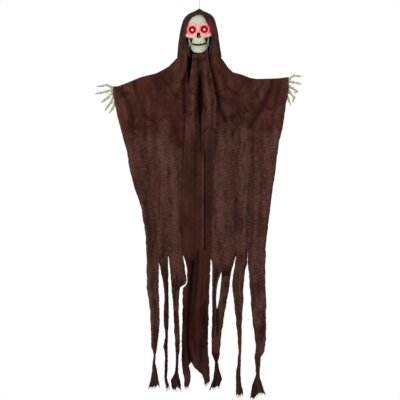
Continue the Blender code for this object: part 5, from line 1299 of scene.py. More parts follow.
    def relief(self, pixels: Array, levels: Array, folds: Iterable[Fold], seed: int) -> tuple[Array, Array, Array]:
        """The height of the folds and wrinkles at each point, how dark their painted shade makes it, and how light
        their painted highlights make it.

        Args:
            pixels: Places across the picture, in pixels.
            levels: The points' rows in the picture.
            folds: The sheet's folds.
            seed: Picks the small wrinkles.

        Returns:
            Rise in metres, painted shade and painted highlight.
        """
        rise = np.zeros(np.shape(pixels))
        shade = np.zeros(np.shape(pixels))
        crest = np.zeros(np.shape(pixels))
        for fold in folds:
            part = fold.profile(pixels, levels)
            rise += fold.rise * part
            shade = np.maximum(shade, fold.shade * part)
            crest = np.maximum(crest, 0.4 * part * (fold.rise > 0))
        drift = soft_noise(pixels / 30, levels / 60, seed) * 4
        wrinkles = soft_noise((pixels + drift) / 4.2, levels / 26, seed + 1)
        fine = soft_noise((pixels + drift) / 1.9, levels / 13, seed + 2)
        lined = 1 - ease(levels, 128, 146)
        rise += 0.0022 * wrinkles + 0.0011 * fine
        shade = np.maximum(shade, (0.26 + 0.2 * lined) * ease(-wrinkles, 0.05, 0.85))
        shade = np.maximum(shade, 0.26 * ease(-fine, 0.15, 0.95))
        crest = np.maximum(crest, 0.24 * ease(wrinkles + 0.4 * fine, 0.25, 1.0))
        for index, size in enumerate((21.0, 12.0)):
            lean = (pixels * 0.8 + levels * 0.6) / size, (levels * 0.8 - pixels * 0.6) / (size * 0.8)
            bend = soft_noise(*lean, seed + 40 + index) + 0.3 * soft_noise(pixels / 7, levels / 5, seed + 44)
            patch = ease(soft_noise(levels / 13, pixels / 17, seed + 46), -0.5, 0.3)
            crease = np.exp(-((bend / 0.12) ** 2)) * lined * patch
            shade = np.maximum(shade, (0.62 - 0.16 * index) * crease)
            rise -= 0.0024 * crease
            crest = np.maximum(crest, 0.42 * np.exp(-(((bend - 0.26) / 0.12) ** 2)) * lined)
        return rise, shade, crest

    def levels(self, cut: Strip, share: Array, top_pixel: Array, first: Array, seed: int, lining: bool) -> Array:
        """The picture rows of a strip's points, from under the shoulder to its ragged tip.

        Args:
            cut: The strip.
            share: Each column's place from edge to edge.
            top_pixel: Where the columns start.
            first: The row that each column starts hanging from.
            seed: Picks the tip's tears.
            lining: True for the short lining.

        Returns:
            Rows by columns.
        """
        if lining:
            bottom = read(self.lining_line, top_pixel) + 1.6 * soft_noise(top_pixel / 1.1, 0.5, seed)
            return first + (bottom - first) * np.linspace(0, 1, self.lining_rows)[:, None]
        upper = int((SLIT_LEVEL - 92) / self.pitch)
        lower = int((cut.tip - SLIT_LEVEL) / self.pitch)
        jag = soft_noise(share * 5, 0.3, seed) + 0.6 * soft_noise(share * 17, 0.7, seed + 1)
        ends = cut.tip + self.tip_rag * (jag - 0.6) + cut.slant * (share - 0.5)
        above = first + (SLIT_LEVEL - first) * np.linspace(0, 1, upper)[:, None]
        below = SLIT_LEVEL + (ends - SLIT_LEVEL) * np.linspace(0, 1, lower)[1:, None]
        return np.concatenate([above, below])

    def edges(self, cut: Strip, levels: Array, seed: int, at_cuff: bool) -> tuple[Array, Array]:
        """A strip's two edges at each point's row, frayed below the slit line.

        Args:
            cut: The strip.
            levels: The points' rows in the picture.
            seed: Picks the fraying.
            at_cuff: True for the strip that ends in the cuff.

        Returns:
            The outer and the inner edge, in pixels.
        """
        fray = np.where(levels > SLIT_LEVEL - 4, 1.0, 0.0)
        ragged = [
            0.6 * soft_noise(levels / 6.5, 0.5, seed + 5 + k) + 0.4 * soft_noise(levels / 1.7, 0.5, seed + 25 + k)
            for k in (0, 1)
        ]
        low = read(cut.outer, levels) + self.rag * fray * ragged[0]
        high = read(cut.inner, levels) + self.rag * fray * ragged[1]
        return low + 0.5 * soft_noise(levels / 3.0, 0.5, seed + 7) * (1 - fray) * at_cuff, high

    def shade_and_wear(
        self, cut: Strip, levels: Array, share: Array, seed: int, shade: Array, crest: Array
    ) -> tuple[Array, Array]:
        """Paints a strip below the slit line: painted shade where it twists, darker towards its tip and where the
        strip is marked dark, and lighter along its edges and in pale patches.

        Args:
            cut: The strip.
            levels: The points' rows in the picture.
            share: Each column's place from edge to edge.
            seed: Picks where it twists and where it is pale.
            shade: How dark the folds' painted shade makes each point.
            crest: How light their painted highlights make it.

        Returns:
            Shade and crest with the strip's own marks.
        """
        slit = ease(levels, SLIT_LEVEL, SLIT_LEVEL + 20)
        rim = (1 - ease(np.minimum(share, 1 - share), 0.0, 0.1)) * slit
        twisted = ease(np.abs(soft_noise(levels / 15, share * 5, seed + 20)), 0.12, 0.6)
        # painted shade where the strip twists
        shade = np.maximum(shade, 0.8 * slit * twisted * (1 - 0.55 * cut.pale))
        shade = np.maximum(shade, cut.dark * slit * (0.45 + 0.55 * twisted))
        tip_shade = (0.95 - 0.35 * cut.pale) * ease(levels, 322, 376)
        shade = np.maximum(shade, tip_shade * (0.6 + 0.4 * twisted)) * (1 - 0.6 * rim)
        patches = ease(soft_noise(levels / 24, share * 3, seed + 23), -0.9, 0.6)
        crest = np.maximum(crest, cut.pale * slit * patches)
        return shade, np.maximum(crest, 0.5 * rim * (1 - cut.dark))

    def strip(
        self, sheet: Sheet, cut: Strip, facing: int, spread: tuple[float, float], seed: int, lining: bool = False,
    ) -> Ragged:
        """Adds one strip, over the arm, down to the slit line and on to its ragged tip.

        Args:
            sheet: The cloth to add it to.
            cut: Its edges, its tip, and how much lighter or darker it is painted.
            facing: -1 for a front sheet and 1 for a back one.
            spread: How far round the side's sheet it goes, as shares.
            seed: Picks its tears, fraying, twists and patches.
            lining: True for the short lining behind a front sheet.

        Returns:
            Points and outward directions along its frayed edges.
        """
        inset = self.lining_gap if lining else 0.0
        tops = self.edge_top(cut.outer), self.edge_top(cut.inner)
        columns = max(9, int(abs(tops[1] - tops[0]) / self.pitch) + 1)
        share = np.linspace(0, 1, columns)[None, :]
        narrow = np.minimum(share, 1 - share)
        u = spread[0] + (spread[1] - spread[0]) * share
        top_pixel = tops[0] + (tops[1] - tops[0]) * share
        top_down = read(self.shoulder_line, top_pixel)
        gap = (self.ridge_gap / 2 + self.cad_thickness * 0.1) * facing
        start_y = facing * self.collar_depth(top_pixel, facing) + gap
        width = self.shoulder_width(top_pixel, facing) - inset
        in_collar = np.abs(top_pixel - PICTURE.axis_pixel) < self.collar_half
        top_z = PICTURE.down(top_down) - self.cad_thickness / 2 - inset - self.collar_gap * in_collar
        angle = np.linspace(0, math.pi / 2, self.arch_rows)[:-1, None]
        arch_x = np.broadcast_to(PICTURE.across(top_pixel), (self.arch_rows - 1, columns))
        arch_z = top_z - (self.shoulder_round - inset) * (1 - np.cos(angle))
        arch = np.stack([arch_x, start_y + facing * width * np.sin(angle), arch_z], axis=-1)

        first = top_down + self.shoulder_round / PICTURE.pixel
        levels = self.levels(cut, share, top_pixel, first, seed, lining)
        slit = ease(levels, SLIT_LEVEL, SLIT_LEVEL + 20)
        low, high = self.edges(cut, levels, seed, spread[0] == 0.0)
        pixels, gone = self.torn(cut, low + (high - low) * share, levels, low, high, share)
        passed = np.clip((levels - first) / (SLIT_LEVEL - first), 0, 1)
        pixels = pixels + (top_pixel - pixels) * (1 - passed) ** 4

        side_y = start_y + facing * width
        rest_y = facing * ((self.front_depth if facing < 0 else self.back_depth) - inset)
        y = side_y + (rest_y - side_y) * ease(levels, *self.settle)
        grow = ease(levels, top_down + 6, top_down + 50) * (1 - ease(u, 0.62, 0.86))
        wave = np.sin(2 * math.pi * (2.6 * u + 0.12)) * self.fold_depth * grow
        y = y + facing * wave * (1 - 0.45 * ease(levels, SLIT_LEVEL, cut.tip))
        y = y + facing * np.cos(math.pi * (share - 0.5)) * self.crease_depth * slit
        folds = self.folds if facing < 0 else self.back_folds()
        rise, shade, crest = self.relief(pixels, levels, folds, 11 if facing < 0 else 31)
        near_drape = ease(np.abs(pixels - PICTURE.axis_pixel), 10, 17)
        rise = np.where(rise > 0, rise * near_drape, rise) * ease(levels, first, first + 8)
        twist = soft_noise(levels / 22, spread[0] * 10, seed + 9) * slit
        y = y + facing * (rise + 0.004 * twist * (share - 0.5) * 2 * near_drape)
        sway = soft_noise(levels / 19, 2.5, seed + 12) * slit * narrow
        body = np.stack([PICTURE.across(pixels + sway), y, PICTURE.down(levels)], axis=-1)
        points = np.concatenate([self.collar_rise(arch[0], facing, lining), arch, body])
        above = len(points) - len(body)
        points = points if lining else self.flow_over(points, above)

        edge = levels - read(self.lining_line, pixels) + 0.8 * soft_noise(pixels / 1.7, levels / 9, 55)
        sheer = ease(edge, -0.9, 0.9) if facing < 0 else np.full(levels.shape, 0.6)
        sheer = np.maximum(sheer, (1 - ease(narrow, 0.0, 0.1)) * slit)
        shade, crest = self.shade_and_wear(cut, levels, share, seed, shade, crest)
        if facing < 0 and spread[0] == 0.0:
            cuff = cut.cuff * (1 - ease(share, 0.02, 0.13)) * (1 - ease(levels, 120, 150))
            crest = np.maximum(crest, cuff)
            shade = shade * (1 - cuff)
        # the lining gets painted deep shade all over
        if lining:
            shade, crest = np.maximum(shade, 0.85), np.zeros(levels.shape)
        sheet.add_hung(points, above, facing * 3.0, gone, hollow=shade, sheer=sheer, crest=crest)
        if lining:
            return []
        out = np.sign(tops[1] - tops[0])
        torn = np.nonzero(levels[:, 0] > SLIT_LEVEL)[0] + above
        sides = [(points[torn, column], np.array((way * out, 0.0, -0.5))) for column, way in ((0, -1), (-1, 1))]
        return sides + [(points[-1], np.array((0.0, 0.0, -1.0)))]

    def collar_rise(self, edge: Array, facing: int, lining: bool) -> Array:
        """The rows that stand up from the collar's edge and close round the outside of the hood.

        Args:
            edge: The points of the sheet's top edge.
            facing: -1 for a front sheet and 1 for a back one.
            lining: True for the lining, which has none.

        Returns:
            The rows, from the highest down. Beside the collar they lie on the edge itself.
        """
        share = np.clip(np.abs(edge[:, 0]) / (self.collar_half * PICTURE.pixel), 0, 1)
        inside = (1 - ease(share, 0.9, 1.0)) * (0.0 if lining else 1.0)
        rag = 1 + 0.1 * soft_noise(edge[:, 0] / 0.011, 0.5, 47)
        rows = []
        for height in np.linspace(1, 0, self.rise_rows + 1)[:-1]:
            lift = height * inside * rag
            swell = 1 + (0.058 if facing < 0 else 0.022) * lift
            row = edge.copy()
            span = np.hypot(edge[:, 0], edge[:, 1]) + 1e-9
            off = self.rise_gap * np.minimum(inside * 3, 1) * min(height * 3, 1.0)
            row[:, 0] *= (1 - 0.027 * lift) * (1 + off / span)
            row[:, 1] *= swell * (1 + off / span)
            row[:, 2] += self.rise * PICTURE.pixel * lift
            rows.append(row)
        return np.array(rows)

    def flow_over(self, points: Array, above: int) -> Array:
        """Lets the cloth fall straight from round the hood onto the shoulders, with no crease at the collar.

        Args:
            points: Rows by columns by three, the risen rows first.
            above: How many rows lie above the sheet's body.

        Returns:
            The points, with those rows drawn along a smooth line inside the collar.
        """
        top, low = points[0], points[above]
        share = np.clip(np.abs(top[:, 0]) / (self.collar_half * PICTURE.pixel), 0, 1)
        weight = 1 - ease(share, 0.84, 0.99)
        turn = (top + low) / 2
        turn[:, 1] = np.where(np.abs(low[:, 1]) > np.abs(top[:, 1]), 0.3 * top[:, 1] + 0.7 * low[:, 1], turn[:, 1])
        t = np.linspace(0, 1, above + 1)[:-1, None, None]
        smooth = (1 - t) ** 2 * top + 2 * t * (1 - t) * turn + t**2 * low
        made = points.copy()
        made[:above] += (smooth - points[:above]) * weight[None, :, None]
        return made

    def torn(
        self, cut: Strip, pixels: Array, levels: Array, low: Array, high: Array,
        share: Array,
    ) -> tuple[Array, Array]:
        """Parts a strip's columns round its tear.

        Args:
            cut: The strip.
            pixels: Places of the grid's points across the picture.
            levels: Their rows in the picture.
            low: The outer edge.
            high: The inner edge.
            share: Each column's place from edge to edge.

        Returns:
            The moved places, and which squares are torn out.
        """
        gone = np.zeros((len(levels) - 1, pixels.shape[1] - 1), bool)
        if not cut.tear:
            return pixels, gone
        level = levels.mean(axis=1)
        rows = np.array(cut.tear)
        sides = np.array([np.interp(level, rows[:, 0], rows[:, column]) for column in (1, 2)])
        outward, inward = sides if low.mean() < high.mean() else sides[::-1]
        middle = np.mean((outward[:, None] + inward[:, None]) / 2 - low) / np.mean(high - low)
        split = int(np.argmin(np.abs(share[0] - middle)))
        active = ease(level, rows[0, 0] - 26, rows[0, 0]) * (1 - ease(level, rows[-1, 0], rows[-1, 0] + 26))
        start = share[0, split]
        first = low + (outward[:, None] - low) * np.minimum(share / start, 1)
        last = high + (inward[:, None] - high) * np.minimum((1 - share) / (1 - share[0, split + 1]), 1)
        parted = np.where(np.arange(pixels.shape[1]) <= split, first, last)
        open_row = (level[:-1] > rows[0, 0]) & (level[1:] < rows[-1, 0])
        gone[open_row, split] = True
        return pixels + (parted - pixels) * active[:, None], gone

    def back_folds(self) -> tuple[Fold, ...]:
        """Soft folds down the back, fanned from the collar.

        Returns:
            The folds.
        """
        made = []
        for index in range(9):
            pixel = 150 + 12.4 * index
            start = PICTURE.axis_pixel + (pixel - PICTURE.axis_pixel) * 0.55
            line = ((start, 70), ((start + pixel) / 2, 120), (pixel, 190), (pixel + 1.5, 250))
            made.append(Fold(line, 2.6, -0.004 if index % 2 else 0.004, 0.35 if index % 2 else 0.0))
        return tuple(made)


@dataclass
class Cutting:
    """The strips each sheet is cut into, as edges traced down the figure in the photograph's pixels."""

    right_outer: Table = (
        (86, 112.9), (97, 117.5), (107, 120.6), (126, 124.4), (152, 129.8), (167, 130.5), (187, 135), (207, 141.3),
        (236, 145.9), (259, 146.6), (290, 147), (310, 150.3), (336, 150.9), (346, 151.2), (356, 153.8), (363, 152.6),
        (379, 151.2), (388, 148.3),
    )
    right_first: Table = ((60, 138), (100, 141), (150, 147), (200, 152.5), (256, 158.2))
    right_second: Table = ((60, 161), (100, 162), (150, 164), (200, 166.5), (256, 168.2))
    right_inner: Table = (
        (53, 187.4), (66, 187.7), (74, 189.8), (100, 190), (150, 188), (200, 185.5), (256, 183),
    )
    one_right: Table = (
        (256, 158.2), (262, 158.4), (291, 158.9), (321, 159.8), (336, 158.7), (346, 157.2), (356, 155.6), (363, 155.4),
        (370, 157), (379, 158.4), (386, 159.8),
    )
    two_left: Table = (
        (256, 158.2), (263, 158.6), (268, 160.4), (291, 164.5), (321, 163.6), (336, 165.4), (347, 163.8), (356, 165),
        (378, 164.4), (388, 166.4),
    )
    two_right: Table = (
        (256, 168.2), (270, 168.2), (301, 168.9), (327, 168.4), (339, 168), (367, 167.6), (378, 167.2), (388, 170),
    )
    three_left: Table = (
        (256, 168.2), (262, 169.4), (301, 173), (333, 174.4), (344, 175.3), (359, 176), (373, 175), (380, 171),
        (390, 172),
    )
    three_right: Table = (
        (256, 183.2), (265, 184.4), (272, 185.3), (280, 187), (284, 185.6), (287, 179.8), (301, 178.6), (333, 179.6),
        (344, 180.2), (359, 178.6), (373, 178.4), (380, 180), (390, 180.6),
    )
    left_inner: Table = ((53, 209.6), (66, 210.2), (100, 211), (150, 207), (200, 207), (256, 209.5))
    left_first: Table = ((60, 232), (100, 231), (150, 232), (200, 234.5), (256, 236))
    left_second: Table = ((60, 259), (100, 257), (150, 252), (200, 249), (256, 247.6))
    left_outer: Table = (
        (77, 288.3), (95, 286.5), (104, 282.6), (125, 280.7), (141, 277.1), (170, 274.5), (198, 271.4), (221, 268.4),
        (244, 266), (276, 265), (300, 266.2), (335, 266), (346, 265), (352, 263.7), (357, 260.8), (373, 259.7),
        (378, 259.6), (389, 263.7), (398, 267),
    )
    five_left: Table = (
        (256, 209.5), (262, 212), (310, 212.3), (336, 211.4), (354, 212), (362, 215), (370, 214.4), (379, 213),
        (391, 209),
    )
    five_right: Table = (
        (256, 236), (270, 231.7), (296, 227.7), (316, 224), (336, 221), (354, 219.8), (362, 217.6), (370, 219.5),
        (379, 222), (391, 218),
    )
    six_left: Table = (
        (256, 236), (270, 233.8), (286, 231.9), (310, 234.7), (336, 237.3), (352, 238.6), (376, 235.9), (395, 235.9),
    )
    six_right: Table = (
        (256, 247.6), (264, 247.4), (269, 245.6), (281, 243.5), (310, 242.8), (336, 241.3), (352, 241), (376, 240.2),
        (395, 243.3),
    )
    seven_left: Table = (
        (256, 247.6), (264, 248), (296, 250.6), (316, 252), (336, 254.8), (346, 256), (357, 254.2), (373, 256),
        (389, 251.2), (398, 250.6),
    )
    drape_left: Table = (
        (55, 192.7), (66, 191.6), (75, 190.2), (99, 187.2), (120, 186), (150, 183.6), (200, 181.5), (246, 181),
        (256, 183.9), (265, 186.3), (272, 187), (281, 187.4), (285, 186), (288, 182.6), (310, 182.5), (359, 181.4),
        (379, 184), (387, 184.5),
    )
    drape_middle: Table = ((57, 200.2), (117, 200.2), (200, 198), (300, 195), (362, 190.8))
    drape_tail: Table = ((362, 191.2), (366, 188.8), (371, 190.3), (376, 190.9), (382, 190.2), (387, 188.2))
    drape_body: Table = ((362, 191.2), (368, 195), (374, 202), (382, 203.4))
    drape_right: Table = (
        (57, 208), (75, 211.4), (99, 216.2), (120, 216.6), (150, 212.5), (200, 211.5), (250, 211), (310, 208.8),
        (350, 208), (370, 209.6), (382, 210),
    )
    five_tear: tuple = (
        (272, 221.5, 221.6), (279, 218.9, 221.5), (286, 217.4, 220.8), (298, 216, 219.4), (304, 216.2, 218.2),
        (309.4, 216.8, 216.9),
    )
    seam_gap: float = 1.2
    back_shorter: float = 4.0

    def fronts(self, side: Side) -> list[Strip]:
        """The front strips, from the cuff inward.

        Args:
            side: The figure's side.

        Returns:
            The strips.
        """
        if side is Side.RIGHT:
            first = joined(self.right_first, self.one_right)
            second = joined(self.right_first, self.two_left), joined(self.right_second, self.two_right)
            third = joined(self.right_second, self.three_left), joined(self.right_inner, self.three_right)
            return [
                Strip(self.right_outer, first, 387.0, pale=0.85, cuff=0.9, slant=-2.0),
                Strip(*second, 388.0, dark=0.35, slant=2.5), Strip(*third, 389.5, pale=0.25, slant=2.0),
            ]
        first = joined(self.left_second, self.seven_left)
        second = joined(self.left_second, self.six_right), joined(self.left_first, self.six_left)
        third = joined(self.left_first, self.five_right), joined(self.left_inner, self.five_left)
        return [
            Strip(self.left_outer, first, 396.5, pale=0.75, cuff=0.35, slant=6.0),
            Strip(*second, 396.0, pale=0.75, slant=2.0),
            Strip(*third, 389.0, dark=0.25, slant=3.0, tear=self.five_tear),
        ]

    def backs(self, side: Side) -> list[Strip]:
        """The same for the back: narrower and shorter strips, and one more to the seam.

        Args:
            side: The figure's side.

        Returns:
            The strips.
        """
        aside = -side.value * self.seam_gap
        fronts = self.fronts(side)
        strips = []
        for index, front in enumerate(fronts):
            outer, inner = self.moved(front.outer, aside), self.moved(front.inner, -aside)
            strips.append(replace(front, outer=outer, inner=inner, tip=front.tip - self.back_shorter * (1 + index)))
        last = fronts[-1].inner
        slit = float(read(last, SLIT_LEVEL))
        low = tuple((level, slit - side.value * by) for level, by in ((256, 0.6), (264, 4.0), (300, 4.5), (384, 5.0)))
        seam = ((57, PICTURE.axis_pixel), (390, PICTURE.axis_pixel))
        strips.append(Strip((*last[: self.upper_rows(last)], *low), seam, 359.0))
        return strips

    def upper_rows(self, table: Table) -> int:
        """How many rows of an edge lie above the slit line."""
        return sum(row[0] < SLIT_LEVEL for row in table)

    def moved(self, table: Table, by: float) -> Table:
        """The same edge, moved across below the slit line."""
        settled = SLIT_LEVEL + 8
        return tuple((level, pixel + by * float(ease(level, SLIT_LEVEL, settled))) for level, pixel in table)

    def pleats(self) -> list[tuple[Table, Table, float, float]]:
        """Left edge, right edge, tip row and place of each of the scarf's two pleats.

        Returns:
            One row for each pleat.
        """
        middle = self.drape_middle[:-1]
        return [
            (self.drape_left, middle + self.drape_tail, 387.0, 0.0),
            (middle + self.drape_body, self.drape_right, 380.0, 0.5),
        ]


@dataclass
class Scarf:
    """The long scarf down the front: two pleats under the chin, side by side, down to a split tail."""

    robe: Robe
    cutting: Cutting
    top_level: float = 54.3
    climb: float = 5.2
    fork_level: float = 362.0
    neck_front: float = 0.0125
    tuck_rows: Table = (
        (70, 0), (69, 0.2), (67.4, 0.42), (65, 0.62), (62, 0.78), (59.2, 0.88), (56.6, 0.945), (54.9, 0.975),
    )
    columns: int = 18
    pitch: float = 1.3
    tail_rows: int = 18
    gape: Table = (
        (66, 0), (71, 0.5), (78, 1.7), (88, 2.7), (98, 3), (108, 2.7), (117, 1.7), (126, 0.9), (142, 0.45), (156, 0),
    )
    deep_line: Table = ((192.6, 262), (190, 292), (188, 318), (187.6, 345), (190.6, 360))
    hem_line: Table = (
        (190.8, 363), (193, 365.8), (197.5, 368), (201, 372), (203.6, 379), (204.6, 385.4), (207, 383.4),
        (210.5, 381.6),
    )

    def depth(self, levels: Array, u: Array) -> Array:
        """How far before the arms' plane the scarf hangs.

        Args:
            levels: The points' rows in the picture.
            u: Each column's place over both pleats.

        Returns:
            Metres.
        """
        robe = self.robe
        top = robe.collar_front * 1.08
        base = top + (robe.front_depth - top) * ease(levels, *robe.settle) + robe.drape_standoff
        fullness = (0.45 + 0.55 * ease(levels, 60, 80)) * (1 - 0.6 * ease(levels, 120, 330))
        lean = 0.006 * (1 - ease(levels, self.top_level, self.top_level + 9))
        return base - lean + robe.drape_pleat * np.sin(2 * math.pi * u) ** 2 * fullness

    def tuck(self, left: Table, right: Table, share: Array, u: Array, lift: Array) -> Array:
        """The rows that go back from a pleat's top edge to the neck post, the farthest first.

        Args:
            left: The pleat's left edge.
            right: Its right edge.
            share: Each column's place from edge to edge.
            u: Each column's place over both pleats.
            lift: How many rows of the picture the top edge climbs at each column.

        Returns:
            Rows by columns by three.
        """
        start = read(left, self.top_level)
        pixel = start + (read(right, self.top_level) - start) * share
        rows = []
        for level, forward in self.tuck_rows:
            reach = self.neck_front + (self.depth(np.array(self.top_level), u) - self.neck_front) * forward
            x = PICTURE.across(pixel) * (0.45 + 0.55 * forward)
            rows.append(np.stack([x[0], -reach[0], PICTURE.down(level - lift * forward)], axis=-1))
        return np.array(rows)

    def shade_and_wear(self, pixels: Array, levels: Array, shade: Array, crest: Array) -> tuple[Array, Array]:
        """Adds the scarf's own marks: painted shade in the gaping slit and along a deep fold, darker cloth lower down
        and in a low band, lighter cloth at the top, and the light frayed fold.

        Args:
            pixels: Places of the points across the picture.
            levels: Their rows in the picture.
            shade: How dark the folds' painted shade makes each point.
            crest: How light their painted highlights make it.

        Returns:
            Shade and crest.
        """
        streaks = soft_noise(pixels / 3.4, levels / 22, 91)
        # painted shade along a deep fold
        dark = np.exp(-((distance_to_line(pixels, levels, self.deep_line) / 3.6) ** 2))
        half = np.maximum(read(self.gape, levels), 0.01)
        # painted shade in the gaping slit
        slit = (1 - ease(np.abs(pixels - 200.2) / half, 0.7, 1.3)) * (half > 0.02)
        shade = np.maximum(shade, 0.34 * ease(levels, 118, 150))
        low_band = ease(levels, 285, 315) * (1 - 0.5 * ease(levels, 352, 378))
        shade = np.maximum(shade, low_band * (0.5 + 0.32 * ease(streaks, -0.6, 0.6)))
        shade = np.maximum(shade, 0.96 * dark)
        crest = crest * (1 - 0.8 * ease(levels, 118, 150)) + 0.25 * (1 - ease(levels, 58, 66))
        frayed = np.exp(-(((pixels - 202.7) / 0.7) ** 2)) * ease(levels, 148, 160) * (1 - ease(levels, 240, 252))
        crest = np.maximum(crest, frayed * (0.55 + 0.45 * soft_noise(pixels, levels / 1.4, 95)))
        return np.maximum(shade * (1 - 0.8 * frayed), slit), crest * (1 - slit)

    def add_pleat(self, sheet: Sheet, left: Table, right: Table, tip: float, start: float) -> Ragged:
        """Adds one pleat.

        Args:
            sheet: The cloth to add it to.
            left: Its left edge.
            right: Its right edge.
            tip: The row of the picture that it ends at.
            start: Its place over both pleats: 0 or 0.5.

        Returns:
            Points and directions along its frayed edges.
        """
        second = start > 0
        share = np.linspace(0, 1, self.columns)[None, :]
        u = start + 0.5 * share
        if second:
            tip = read(self.hem_line, read(left, tip) + (read(right, tip) - read(left, tip)) * share)
        tip = tip + 0.9 * (soft_noise(share * 11, 0.4, 81) - 0.6)
        edge_level = self.top_level - self.climb * ease(u, 0.78, 0.98)
        count = int((self.fork_level - self.top_level) / self.pitch)
        above = edge_level + (self.fork_level - edge_level) * np.linspace(0, 1, count)[:, None]
        low = self.fork_level + (tip - self.fork_level) * np.linspace(0, 1, self.tail_rows)[1:, None]
        levels = np.concatenate([np.broadcast_to(above, (count, self.columns)), low])
        rag = 0.55 * ease(levels, 140, 170)
        in_tail = (levels > self.fork_level) * 1.0
        first = read(left, levels) + rag * soft_noise(levels / 2.4, 0.5, 82) * (in_tail if second else 1.0)
        last = read(right, levels) + rag * soft_noise(levels / 2.4, 0.5, 83) * (1.0 if second else in_tail)
        pixels = first + (last - first) * share
        rise, shade, crest = self.robe.relief(pixels, levels, self.robe.drape_folds, 61)
        depth = self.depth(levels, u)
        room = np.clip((depth - self.robe.front_depth) / 0.02, 0.35, 1)
        y = -depth - np.maximum(rise * room, -0.0045)
        body = np.stack([PICTURE.across(pixels), y, PICTURE.down(levels)], axis=-1)
        tuck = self.tuck(left, right, share, u, self.top_level - edge_level[0])
        points = np.concatenate([tuck, body])
        sheer = 0.25 + 0.5 * ease(levels, 140, 180) * np.exp(-(((pixels - 202.3) / 1.1) ** 2))
        sheer = sheer * ease(240 - levels, 0, 30) + 0.6 * ease(levels, 330, 372)
        shade, crest = self.shade_and_wear(pixels, levels, shade, crest)
        sheet.add_hung(points, len(tuck), 7.0, hollow=shade, sheer=sheer, crest=crest)
        torn = np.nonzero(levels[:, 0] > 150)[0] + len(tuck)
        edge = points[torn, -1 if second else 0]
        return [(edge, np.array((1.0 if second else -1.0, 0.0, -0.8))), (points[-1], np.array((0.0, 0.0, -1.0)))]

    def add_to(self, sheet: Sheet) -> Ragged:
        """Adds both pleats, and returns points and directions along the frayed edges."""
        return [edge for pleat in self.cutting.pleats() for edge in self.add_pleat(sheet, *pleat)]


